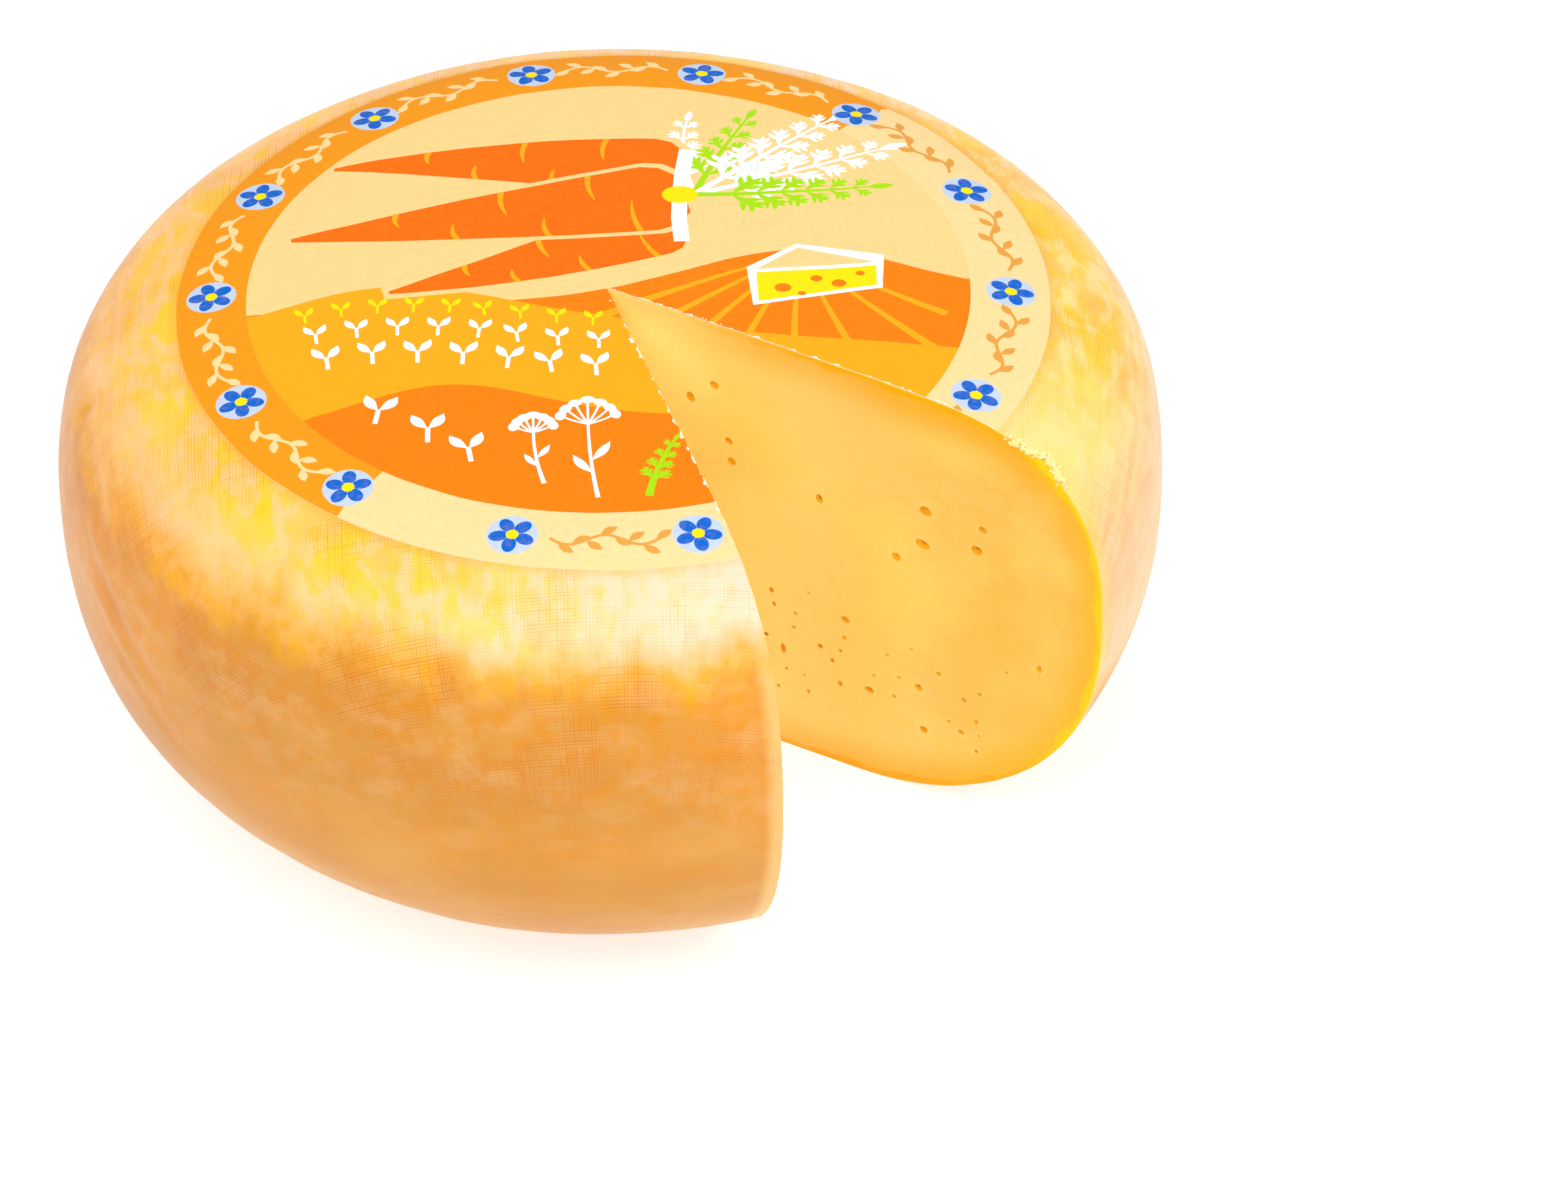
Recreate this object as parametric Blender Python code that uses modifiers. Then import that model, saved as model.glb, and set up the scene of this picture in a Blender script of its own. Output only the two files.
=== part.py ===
"""A round, thick wheel of gouda with one wedge cut out of it, and the paper label on its top.

Metres, +Z up. The origin is where the wheel's axis meets the surface that it stands on.
The wedge is missing towards +X and -Y, so both cut faces meet in one upright edge on the axis.
"""

import math
import random

import bmesh
import bpy
from mathutils import Matrix, Vector

# The wheel, turned about Z. Its side bulges, and its top and its foot curve into the side.
WHEEL_RADIUS = 0.120
WHEEL_HEIGHT = 0.1095
WIDEST_HEIGHT = 0.0605
TOP_DOME = 0.0040
SHOULDER_START_RADIUS = 0.0725
SHOULDER_SQUARENESS = 2.75
FOOT_RADIUS = 0.0600
FOOT_SQUARENESS = 2.18
TURN_STEPS = 72
DOME_RINGS = 4
SHOULDER_RINGS = 11
FOOT_RINGS = 11

# The missing wedge: the directions of its two faces, as angles from +X about Z.
NEAR_CUT_DEG = -73.9
FAR_CUT_DEG = -31.2
CUTTER_REACH = 0.30
CUTTER_OVERRUN = 0.02

# The eyes: small round gas holes that the knife opened. Each has its distance out from the axis, its height
# and its width, in millimetres. Those on the far face are placed as seen, those on the near face by a rule.
FAR_FACE_EYES_MM = (
    (20.1, 87.1, 2.0),
    (26.0, 92.3, 2.0),
    (29.4, 78.7, 1.7),
    (30.0, 73.4, 1.9),
    (51.5, 71.3, 1.8),
    (77.2, 77.4, 2.5),
    (76.5, 68.3, 2.7),
    (70.2, 62.6, 2.0),
    (90.8, 77.4, 1.7),
    (89.5, 71.5, 2.3),
    (57.7, 40.5, 1.8),
    (42.4, 26.8, 1.7),
    (63.6, 23.2, 1.9),
    (75.8, 28.8, 1.7),
    (77.1, 17.4, 1.9),
    (104.8, 45.1, 1.6),
)
NEAR_FACE_EYES = 16
NEAR_FACE_SEED = 7
NEAR_FACE_REACH_MM = (18.0, 104.0)
NEAR_FACE_RISE_MM = (14.0, 92.0)
NEAR_FACE_WIDTH_MM = (1.6, 2.6)
NEAR_FACE_SPACING_MM = 6.0
EYE_SEGMENTS = 10
EYE_BANDS = 5

# The label: a round paper sheet that follows the top, cut through together with the cheese.
LABEL_RADIUS = 0.0935
LABEL_CENTRE = (0.0014, 0.0012)
LABEL_THICKNESS = 0.0003
LABEL_GAP = 0.0003
LABEL_EDGE_RINGS = 8
LABEL_MIDDLE_RINGS = 3
LABEL_MIDDLE_RADIUS = 0.066

# Colours, as red, green and blue from 0 to 1, with roughness.
CHEESE_COLOUR = (0.93, 0.50, 0.10)
CHEESE_ROUGHNESS = 0.45
LABEL_COLOUR = (0.95, 0.33, 0.03)
LABEL_ROUGHNESS = 0.40

MERGE_DISTANCE = 1e-5
MM = 0.001


def clear_scene():
    for item in list(bpy.data.objects):
        bpy.data.objects.remove(item)


def new_collection(name):
    group = bpy.data.collections.new(name)
    bpy.context.scene.collection.children.link(group)
    return group


def finish(name, colour, roughness):
    """A plain Principled material of one colour."""
    material = bpy.data.materials.new(name)
    material.use_nodes = True
    shader = material.node_tree.nodes["Principled BSDF"]
    shader.inputs["Base Color"].default_value = (*colour, 1.0)
    shader.inputs["Roughness"].default_value = roughness
    shader.inputs["Metallic"].default_value = 0.0
    return material


def object_from_bmesh(name, shape, group):
    mesh = bpy.data.meshes.new(name)
    shape.to_mesh(mesh)
    shape.free()
    item = bpy.data.objects.new(name, mesh)
    group.objects.link(item)
    return item


def top_height(radius):
    """Height of the wheel's upper surface at a distance from the axis: a slight dome, then the round shoulder."""
    share = (radius - SHOULDER_START_RADIUS) / (WHEEL_RADIUS - SHOULDER_START_RADIUS)
    share = min(max(share, 0.0), 1.0)
    level = (1.0 - share**SHOULDER_SQUARENESS) ** (1.0 / SHOULDER_SQUARENESS)
    rise = WHEEL_HEIGHT - WIDEST_HEIGHT - TOP_DOME
    dome = TOP_DOME * (1.0 - (radius / WHEEL_RADIUS) ** 2)
    return WIDEST_HEIGHT + rise * level + dome


def shoulder_radius(turn):
    """Radius on the shoulder, for a turn of 0 at its upper end to a right angle at the widest point."""
    spread = WHEEL_RADIUS - SHOULDER_START_RADIUS
    return SHOULDER_START_RADIUS + spread * math.sin(turn) ** (2.0 / SHOULDER_SQUARENESS)


def foot_point(turn):
    """Radius and height below the widest point, for a turn of 0 there to a right angle at the flat foot."""
    power = 2.0 / FOOT_SQUARENESS
    radius = FOOT_RADIUS + (WHEEL_RADIUS - FOOT_RADIUS) * max(math.cos(turn), 0.0) ** power
    height = WIDEST_HEIGHT * (1.0 - math.sin(turn) ** power)
    return radius, height


def wheel_outline():
    """Points of the turned outline as radius and height, from the top's middle round to the foot's middle."""
    quarter = math.pi / 2
    points = []
    for step in range(DOME_RINGS):
        radius = SHOULDER_START_RADIUS * step / DOME_RINGS
        points.append((radius, top_height(radius)))
    for step in range(SHOULDER_RINGS):
        radius = shoulder_radius(quarter * step / SHOULDER_RINGS)
        points.append((radius, top_height(radius)))
    for step in range(FOOT_RINGS + 1):
        points.append(foot_point(quarter * step / FOOT_RINGS))
    points.append((0.0, 0.0))
    return points


def turned_wheel(name, group):
    """The whole wheel: its outline with a Screw modifier."""
    shape = bmesh.new()
    corners = [shape.verts.new((radius, 0.0, height)) for radius, height in wheel_outline()]
    for first, second in zip(corners, corners[1:]):
        shape.edges.new((first, second))
    item = object_from_bmesh(name, shape, group)
    screw = item.modifiers.new("turn", "SCREW")
    screw.axis = "Z"
    screw.angle = math.tau
    screw.steps = TURN_STEPS
    screw.render_steps = TURN_STEPS
    screw.use_merge_vertices = True
    screw.merge_threshold = MERGE_DISTANCE
    return item


def direction(angle_deg):
    angle = math.radians(angle_deg)
    return Vector((math.cos(angle), math.sin(angle), 0.0))


def hide_as_cutter(item):
    item.hide_render = True
    item.display_type = "WIRE"


def wedge_cutter(name, group):
    """A three-sided prism over the missing wedge: a flat outline, extruded and made a mesh."""
    outline = bpy.data.curves.new(name, "CURVE")
    outline.dimensions = "2D"
    outline.fill_mode = "BOTH"
    outline.extrude = WHEEL_HEIGHT / 2 + CUTTER_OVERRUN
    spline = outline.splines.new("POLY")
    spline.points.add(2)
    corners = (Vector((0, 0, 0)), direction(NEAR_CUT_DEG) * CUTTER_REACH, direction(FAR_CUT_DEG) * CUTTER_REACH)
    for point, corner in zip(spline.points, corners):
        point.co = (corner.x, corner.y, 0.0, 1.0)
    spline.use_cyclic_u = True
    flat = bpy.data.objects.new(name + "_outline", outline)
    flat.location = (0.0, 0.0, WHEEL_HEIGHT / 2)
    group.objects.link(flat)
    bpy.context.view_layer.update()

    evaluated = flat.evaluated_get(bpy.context.evaluated_depsgraph_get())
    mesh = bpy.data.meshes.new_from_object(evaluated)
    shape = bmesh.new()
    shape.from_mesh(mesh)
    bmesh.ops.remove_doubles(shape, verts=shape.verts, dist=MERGE_DISTANCE)
    shape.to_mesh(mesh)
    shape.free()
    cutter = bpy.data.objects.new(name, mesh)
    cutter.matrix_world = flat.matrix_world.copy()
    group.objects.link(cutter)
    bpy.data.objects.remove(flat)
    hide_as_cutter(cutter)
    return cutter


def near_face_eyes():
    """Places for the near face's eyes by a seeded rule: more of them low down, none crowding another."""
    draw = random.Random(NEAR_FACE_SEED)
    placed = []
    while len(placed) < NEAR_FACE_EYES:
        reach = draw.uniform(*NEAR_FACE_REACH_MM)
        low, high = NEAR_FACE_RISE_MM
        rise = low + (high - low) * draw.random() ** 1.6
        width = draw.uniform(*NEAR_FACE_WIDTH_MM)
        if all(math.hypot(reach - r, rise - h) > NEAR_FACE_SPACING_MM for r, h, _ in placed):
            placed.append((reach, rise, width))
    return placed


def eye_cutter(name, angle_deg, eyes_mm, group):
    """One ball for each eye of a cut face, centred on the face so that it leaves a half-round pit.

    The balls' poles stand square to the face, and their odd count of bands keeps every corner off it.
    """
    along = direction(angle_deg)
    square_to_face = Matrix.Rotation(math.radians(angle_deg), 4, "Z") @ Matrix.Rotation(math.pi / 2, 4, "X")
    shape = bmesh.new()
    for reach, rise, width in eyes_mm:
        centre = along * reach * MM + Vector((0.0, 0.0, rise * MM))
        bmesh.ops.create_uvsphere(
            shape,
            u_segments=EYE_SEGMENTS,
            v_segments=EYE_BANDS,
            radius=width / 2 * MM,
            matrix=Matrix.Translation(centre) @ square_to_face,
        )
    cutter = object_from_bmesh(name, shape, group)
    hide_as_cutter(cutter)
    return cutter


def cut(item, cutter):
    boolean = item.modifiers.new("cut_" + cutter.name, "BOOLEAN")
    boolean.operation = "DIFFERENCE"
    boolean.object = cutter
    boolean.solver = "EXACT"


def shade_round(mesh, sharp_deg):
    mesh.shade_smooth()
    mesh.set_sharp_from_angle(angle=math.radians(sharp_deg))


def make_cheese(parts, cutters, wedge):
    """The wheel with its wedge cut out and the eyes opened in both faces."""
    cheese = turned_wheel("cheese", parts)
    cut(cheese, wedge)
    cut(cheese, eye_cutter("far_eyes", FAR_CUT_DEG, FAR_FACE_EYES_MM, cutters))
    cut(cheese, eye_cutter("near_eyes", NEAR_CUT_DEG, near_face_eyes(), cutters))
    cheese.data.materials.append(finish("gouda_paste_and_rind", CHEESE_COLOUR, CHEESE_ROUGHNESS))
    shade_round(cheese.data, 40)
    return cheese


def label_ring_radii():
    """Radii of the label's rings about its own centre: a few on the flat middle, more where the top curves down."""
    radii = [LABEL_MIDDLE_RADIUS * (step + 1) / LABEL_MIDDLE_RINGS for step in range(LABEL_MIDDLE_RINGS)]
    edge = LABEL_RADIUS - LABEL_MIDDLE_RADIUS
    radii += [LABEL_MIDDLE_RADIUS + edge * (step + 1) / LABEL_EDGE_RINGS for step in range(LABEL_EDGE_RINGS)]
    return radii


def make_label(parts, wedge):
    """The paper label: an open disc laid on the curved top, given its thickness, then cut with the wheel."""
    shape = bmesh.new()
    spokes = [direction(360.0 * step / TURN_STEPS) for step in range(TURN_STEPS)]
    middle = Vector((*LABEL_CENTRE, 0.0))
    hub = shape.verts.new(middle)
    rings = [[shape.verts.new(middle + spoke * radius) for spoke in spokes] for radius in label_ring_radii()]
    for step in range(TURN_STEPS):
        after = (step + 1) % TURN_STEPS
        shape.faces.new((hub, rings[0][step], rings[0][after]))
        for inner, outer in zip(rings, rings[1:]):
            shape.faces.new((inner[step], outer[step], outer[after], inner[after]))
    for corner in shape.verts:
        corner.co.z = top_height(corner.co.xy.length) + LABEL_GAP
    label = object_from_bmesh("label", shape, parts)
    paper = label.modifiers.new("paper", "SOLIDIFY")
    paper.thickness = LABEL_THICKNESS
    paper.offset = 1.0
    cut(label, wedge)
    label.data.materials.append(finish("printed_paper", LABEL_COLOUR, LABEL_ROUGHNESS))
    shade_round(label.data, 40)
    return label


def main():
    clear_scene()
    parts = new_collection("carrot_gouda")
    cutters = new_collection("cutters")
    wedge = wedge_cutter("missing_wedge", cutters)
    make_cheese(parts, cutters, wedge)
    make_label(parts, wedge)


main()
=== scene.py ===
"""The looks of a carrot gouda: a coated wheel with one wedge cut out, and the printed paper on its top.

Metres, +Z up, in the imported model's own frame. The wheel stands on the origin with its axis along Z.
"""

import math
import random

import bmesh
import bpy
import numpy as np
from mathutils import Matrix, Vector, geometry, noise
from mathutils.bvhtree import BVHTree


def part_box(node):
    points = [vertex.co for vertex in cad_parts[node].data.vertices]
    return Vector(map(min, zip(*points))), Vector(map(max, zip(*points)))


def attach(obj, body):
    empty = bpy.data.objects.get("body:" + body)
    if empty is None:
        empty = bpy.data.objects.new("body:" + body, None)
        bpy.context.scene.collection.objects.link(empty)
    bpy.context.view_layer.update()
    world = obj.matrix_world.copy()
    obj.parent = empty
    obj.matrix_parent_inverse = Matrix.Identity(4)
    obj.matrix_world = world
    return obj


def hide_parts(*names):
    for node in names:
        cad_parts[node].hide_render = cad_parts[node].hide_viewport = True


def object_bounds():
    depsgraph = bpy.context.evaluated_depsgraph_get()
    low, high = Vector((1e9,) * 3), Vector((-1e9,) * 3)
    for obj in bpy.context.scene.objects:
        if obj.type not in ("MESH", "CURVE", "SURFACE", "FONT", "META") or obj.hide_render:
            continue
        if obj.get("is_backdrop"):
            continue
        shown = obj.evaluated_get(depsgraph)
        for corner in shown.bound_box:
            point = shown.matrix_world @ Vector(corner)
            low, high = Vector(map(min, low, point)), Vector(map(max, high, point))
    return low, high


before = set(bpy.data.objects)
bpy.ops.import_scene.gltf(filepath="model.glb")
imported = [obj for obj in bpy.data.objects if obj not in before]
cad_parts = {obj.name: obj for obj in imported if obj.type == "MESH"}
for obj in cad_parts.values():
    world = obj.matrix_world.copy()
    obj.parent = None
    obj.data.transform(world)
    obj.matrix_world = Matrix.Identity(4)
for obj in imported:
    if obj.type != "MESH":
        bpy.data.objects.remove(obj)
cad_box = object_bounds()

# The rind
# The outside of the wheel, pressed in a round mould that is lined with a net, then painted with a clear
# plastic coating that dries yellow. Geometry Nodes sweep its outline round the axis, from cut to cut.

MM = 0.001
WHEEL_RADIUS, _, WHEEL_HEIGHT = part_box("cheese")[1]
WIDEST_HEIGHT = 60.5 * MM
TOP_DOME = 4.0 * MM
SHOULDER_START_RADIUS = 72.5 * MM
SHOULDER_SQUARENESS = 2.75
FOOT_RADIUS = 60.0 * MM
FOOT_SQUARENESS = 2.18
OUTLINE_POINTS = 160

FAR_CUT_DEG = -31.2
NEAR_CUT_DEG = -73.9
# Each cut, and which way round the axis leads from it into the cheese.
CUTS = ((FAR_CUT_DEG, 1), (NEAR_CUT_DEG, -1))
RIND_STEPS = 310
RIND_RINGS = 250
LUMP_SIZE = 42.0 * MM
LUMP_DEPTH = 0.9 * MM
DENT_SIZE = 11.0 * MM
DENT_DEPTH = 0.28 * MM
LEVEL_FOOT_HEIGHT = 9.0 * MM
POLE_MERGE = 0.1 * MM

# Folds of the net: direction and height at each end, then width and depth, in degrees and millimetres.
NET_FOLDS = (
    (-172.0, 91.0, -153.0, 80.0, 2.6, 0.55),
    (-167.0, 86.0, -149.0, 66.0, 2.0, 0.40),
    (-163.0, 78.0, -141.0, 57.0, 2.4, 0.45),
    (-158.0, 66.0, -138.0, 44.0, 1.8, 0.30),
    (-150.0, 84.0, -136.0, 71.0, 1.6, 0.28),
    (120.0, 84.0, 142.0, 66.0, 2.4, 0.45),
    (95.0, 74.0, 112.0, 60.0, 2.0, 0.35),
    (30.0, 80.0, 47.0, 61.0, 2.6, 0.45),
    (8.0, 70.0, 21.0, 57.0, 1.8, 0.30),
)
FOLD_TIPS = (0.02, 0.98)
FOLD_TAPER = 0.6
# The low lip that a fold raises on each side: its share of the depth, and its distance in widths.
FOLD_LIP_SHARE = 0.45
FOLD_LIP_DISTANCE = 2
# Small pits of the rind: direction, height, width and depth.
RIND_PITS = (
    (-172.5, 92.0, 2.2, 1.1),
    (-119.0, 22.0, 1.3, 0.5),
    (64.0, 71.0, 1.8, 0.8),
    (151.0, 49.0, 1.6, 0.7),
)

# The paper's round edge: the label is cut to it, and a painted shadow line darkens the rind just outside it.
LABEL_RADIUS_MM = 93.4
LABEL_CENTRE_MM = (1.43, 1.19)

NET_PITCH_MM = 0.75
THREAD_SLACK = 0.3
THREAD_WANDER_MM = 0.7
# Directions in which the rind's colour changes: towards the side away from the lamps, which gets painted
# shade;
# towards the left soft box's reflection on the shoulder, painted as a pale highlight; to where the brush has
# been;
# and towards the front soft box, where painted shade dims the side.
SHADE_DEG = 150.0
LEFT_BOX_REFLECTION_DEG = -153.0
DRAINED_DEG = 20.0
BEHIND_DEG = 75.0
FRONT_BOX_SHADE_DEG = -110.0
SRGB_KNEE = 0.04045


def colour(hex_code):
    """Linear colour with alpha 1 from an sRGB hex code such as #FFCC66."""
    parts = [int(hex_code[place:place + 2], 16) / 255 for place in (1, 3, 5)]
    linear = [part / 12.92 if part <= SRGB_KNEE else ((part + 0.055) / 1.055) ** 2.4 for part in parts]
    return (*linear, 1.0)


def add(tree, kind, inputs=None, **settings):
    """Adds a node. Inputs are found by name or place, and take a value, a node's first output or a socket."""
    node = tree.nodes.new(kind)
    for name, value in settings.items():
        setattr(node, name, value)
    for key, value in (inputs or {}).items():
        if isinstance(key, int):
            socket = node.inputs[key]
        else:
            socket = next(item for item in node.inputs if item.enabled and item.name == key)
        if isinstance(value, bpy.types.Node):
            value = next(item for item in value.outputs if item.enabled)
        if isinstance(value, bpy.types.NodeSocket):
            tree.links.new(value, socket)
        else:
            socket.default_value = value
    return node


def direction(angle_deg):
    """The level direction at an angle from +X towards +Y."""
    angle = math.radians(angle_deg)
    return Vector((math.cos(angle), math.sin(angle), 0.0))


def wheel_outline():
    """The turned outline as radius and height, from the middle of the top round to the middle of the foot."""
    quarter = math.pi / 2
    rise = WHEEL_HEIGHT - WIDEST_HEIGHT - TOP_DOME
    points = []
    for step in range(OUTLINE_POINTS):
        radius = SHOULDER_START_RADIUS * step / OUTLINE_POINTS
        points.append((radius, WHEEL_HEIGHT - TOP_DOME * (radius / WHEEL_RADIUS) ** 2))
    for step in range(OUTLINE_POINTS):
        turn = quarter * step / OUTLINE_POINTS
        spread = WHEEL_RADIUS - SHOULDER_START_RADIUS
        radius = SHOULDER_START_RADIUS + spread * math.sin(turn) ** (2 / SHOULDER_SQUARENESS)
        level = rise * math.cos(turn) ** (2 / SHOULDER_SQUARENESS)
        points.append((radius, WIDEST_HEIGHT + level + TOP_DOME * (1 - (radius / WHEEL_RADIUS) ** 2)))
    for step in range(OUTLINE_POINTS + 1):
        turn = quarter * step / OUTLINE_POINTS
        radius = FOOT_RADIUS + (WHEEL_RADIUS - FOOT_RADIUS) * max(math.cos(turn), 0) ** (2 / FOOT_SQUARENESS)
        points.append((radius, WIDEST_HEIGHT * (1 - math.sin(turn) ** (2 / FOOT_SQUARENESS))))
    points.append((0.0, 0.0))
    return points


def polyline_mesh(name, points):
    """A mesh of the edges from each point to the next."""
    mesh = bpy.data.meshes.new(name)
    mesh.from_pydata(points, [(place, place + 1) for place in range(len(points) - 1)], [])
    return mesh


def grow(name, mesh, build, material, sizes):
    """Runs a Geometry Nodes tree on a mesh and returns the plain result. Its named inputs are the sizes."""
    kinds = {int: "NodeSocketInt", float: "NodeSocketFloat", tuple: "NodeSocketVector"}
    tree = bpy.data.node_groups.new(name, "GeometryNodeTree")
    tree.interface.new_socket("Mesh", in_out="INPUT", socket_type="NodeSocketGeometry")
    named = {size: tree.interface.new_socket(size, in_out="INPUT", socket_type=kinds[type(value)]).identifier
             for size, value in sizes.items()}
    named["Material"] = tree.interface.new_socket(
        "Material", in_out="INPUT", socket_type="NodeSocketMaterial").identifier
    tree.interface.new_socket("Mesh", in_out="OUTPUT", socket_type="NodeSocketGeometry")
    given = add(tree, "NodeGroupInput").outputs
    built = add(tree, "GeometryNodeRealizeInstances", {"Geometry": build(tree, given)})
    built = add(tree, "GeometryNodeSetShadeSmooth", {"Geometry": built})
    built = add(tree, "GeometryNodeSetMaterial", {"Geometry": built, "Material": given["Material"]})
    add(tree, "NodeGroupOutput", {"Mesh": built})

    item = bpy.data.objects.new(name, mesh)
    bpy.context.scene.collection.objects.link(item)
    modifier = item.modifiers.new(name, "NODES")
    modifier.node_group = tree
    for size, value in {**sizes, "Material": material}.items():
        modifier[named[size]] = value
    evaluated = item.evaluated_get(bpy.context.evaluated_depsgraph_get())
    result = bpy.data.meshes.new_from_object(evaluated)
    result.name = name
    bpy.data.objects.remove(item)
    return result


def turned_rind(tree, given):
    """Sweeps the outline round the axis and sinks it by two sizes of noise, as uneven as a pressed rind."""
    steps = add(tree, "ShaderNodeMath", {0: given["Steps"], 1: 1.0}, operation="ADD")
    rings = add(tree, "ShaderNodeMath", {0: given["Rings"], 1: 1.0}, operation="ADD")
    size = {"Size X": 1.0, "Size Y": 1.0, "Vertices X": steps, "Vertices Y": rings}
    sheet = add(tree, "GeometryNodeMeshGrid", size)
    place = add(tree, "ShaderNodeSeparateXYZ", {0: add(tree, "GeometryNodeInputPosition")}).outputs
    round_share = add(tree, "ShaderNodeMath", {0: place["X"], 1: 0.5}, operation="ADD")
    turned = {0: round_share, 1: given["Sweep"], 2: given["Start Angle"]}
    angle = add(tree, "ShaderNodeMath", turned, operation="MULTIPLY_ADD")
    down_share = add(tree, "ShaderNodeMath", {0: 0.5, 1: place["Y"]}, operation="SUBTRACT")
    outline = add(tree, "GeometryNodeMeshToCurve", {"Mesh": given["Mesh"]})
    at = add(tree, "GeometryNodeSampleCurve", {"Curves": outline, "Factor": down_share}, mode="FACTOR")
    turn = {"Vector": at.outputs["Position"], "Angle": angle}
    swept = add(tree, "ShaderNodeVectorRotate", turn, rotation_type="Z_AXIS")
    rind = add(tree, "GeometryNodeSetPosition", {"Geometry": sheet, "Position": swept})

    depth = 0.0
    for kind in ("Lump", "Dent"):
        scale = add(tree, "ShaderNodeMath", {0: 1.0, 1: given[kind + " Size"]}, operation="DIVIDE")
        uneven = add(tree, "ShaderNodeTexNoise", {"Scale": scale, "Detail": 1.0})
        sunk = {0: uneven, 1: given[kind + " Depth"], 2: depth}
        depth = add(tree, "ShaderNodeMath", sunk, operation="MULTIPLY_ADD")
    height = add(tree, "ShaderNodeSeparateXYZ", {0: add(tree, "GeometryNodeInputPosition")}).outputs["Z"]
    above_foot = {"Value": height, "From Min": 0.0, "From Max": given["Level Foot Height"], "To Max": -1.0}
    fade = add(tree, "ShaderNodeMapRange", above_foot, interpolation_type="SMOOTHSTEP")
    move = add(tree, "ShaderNodeMath", {0: depth, 1: fade}, operation="MULTIPLY")
    outwards = add(tree, "GeometryNodeInputNormal")
    offset = add(tree, "ShaderNodeVectorMath", {"Vector": outwards, "Scale": move}, operation="SCALE")
    rind = add(tree, "GeometryNodeSetPosition", {"Geometry": rind, "Offset": offset})
    return add(tree, "GeometryNodeMergeByDistance", {"Geometry": rind, "Distance": POLE_MERGE})


def corner_places(mesh):
    """The places of a mesh's corners, one row each."""
    places = np.empty(len(mesh.vertices) * 3)
    mesh.vertices.foreach_get("co", places)
    return places.reshape(-1, 3)


def press_net_folds(mesh):
    """Sinks the folds that the net left, and the small pits, into the rind's side."""
    places = corner_places(mesh)
    rounds = np.arctan2(places[:, 1], places[:, 0]) * WHEEL_RADIUS / MM
    heights = places[:, 2] / MM
    sunk = np.zeros(len(places))
    for start_deg, start_height, end_deg, end_height, width, depth in NET_FOLDS:
        start = np.array((math.radians(start_deg) * WHEEL_RADIUS / MM, start_height))
        run = np.array((math.radians(end_deg) * WHEEL_RADIUS / MM, end_height)) - start
        away = np.stack((rounds, heights), 1) - start
        share = np.clip(away @ run / (run @ run), 0, 1)
        bow = np.stack((share * 0, np.sin(share * math.pi) * width), 1)
        distance = np.linalg.norm(away - share[:, None] * run - bow, axis=1)
        taper = np.sin(np.clip(share, *FOLD_TIPS) * math.pi) ** FOLD_TAPER
        lip = FOLD_LIP_SHARE * np.exp(-((distance - width * FOLD_LIP_DISTANCE) / width) ** 2)
        sunk += depth * taper * (np.exp(-(distance / width) ** 2) - lip)
    for pit_deg, pit_height, width, depth in RIND_PITS:
        across = rounds - math.radians(pit_deg) * WHEEL_RADIUS / MM
        distance = np.hypot(across, heights - pit_height)
        sunk += depth * np.exp(-(distance / width) ** 2)
    outwards = places * (1, 1, 0) / np.maximum(np.hypot(places[:, 0], places[:, 1]), MM)[:, None]
    places -= outwards * sunk[:, None] * MM
    mesh.vertices.foreach_set("co", places.ravel())
    mesh.attributes.new("in_fold_mm", "FLOAT", "POINT").data.foreach_set("value", np.maximum(sunk, 0))


def lay_net(mesh):
    """Stores where each corner lies on the net, which was laid on the top and drawn down over the side."""
    places = corner_places(mesh)
    outline = np.array(wheel_outline())
    run = np.concatenate(((0,), np.cumsum(np.linalg.norm(np.diff(outline, axis=0), axis=1))))
    turns = np.arctan2(WHEEL_HEIGHT / 2 - outline[:, 1], outline[:, 0])
    radii = np.maximum(np.hypot(places[:, 0], places[:, 1]), 1e-9)
    runs = np.interp(np.arctan2(WHEEL_HEIGHT / 2 - places[:, 2], radii), turns, run)
    net = np.stack((places[:, 0] / radii * runs, places[:, 1] / radii * runs, runs * 0), 1) / MM
    mesh.attributes.new("on_net_mm", "FLOAT_VECTOR", "POINT").data.foreach_set("vector", net.ravel())


def new_material(name, finish):
    """A material whose shader has the given values on its own sockets, and the material's tree."""
    material = bpy.data.materials.new(name)
    material.use_nodes = True
    for socket, value in finish.items():
        material.node_tree.nodes["Principled BSDF"].inputs[socket].default_value = value
    return material, material.node_tree


def place_in_mm(tree):
    """Each point's place on its piece, and that place along each axis."""
    place = {"Vector": add(tree, "ShaderNodeTexCoord").outputs["Object"], "Scale": 1 / MM}
    place = add(tree, "ShaderNodeVectorMath", place, operation="SCALE")
    return place, add(tree, "ShaderNodeSeparateXYZ", {0: place}).outputs


def seen_from_above(tree, place):
    """The place with its height left out."""
    return add(tree, "ShaderNodeVectorMath", {0: place, 1: (1.0, 1.0, 0.0)}, operation="MULTIPLY")


def distance_along(tree, place, angle_deg):
    """How far each point lies from the axis in one level direction."""
    both = {0: place, 1: direction(angle_deg)}
    return add(tree, "ShaderNodeVectorMath", both, operation="DOT_PRODUCT").outputs["Value"]


def product(tree, first, *others):
    """The factors multiplied, such as the zones whose overlap a colour covers."""
    for other in others:
        first = add(tree, "ShaderNodeMath", {0: first, 1: other}, operation="MULTIPLY")
    return first


def zone(tree, *limits):
    """A zone with soft edges. Each limit is a measure and its values where the zone starts and is full."""
    edges = [add(tree, "ShaderNodeMapRange", {"Value": measure, "From Min": start, "From Max": full},
                 interpolation_type="SMOOTHSTEP") for measure, start, full in limits]
    return product(tree, *edges)


def mottle(tree, place, size_mm, low, high, detail=2.0):
    """Soft patches of a real size: 0 outside them, 1 inside, by where the noise lies between two levels."""
    patches = {"Vector": place, "Scale": 1 / size_mm, "Detail": detail}
    return zone(tree, (add(tree, "ShaderNodeTexNoise", patches), low, high))


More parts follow.
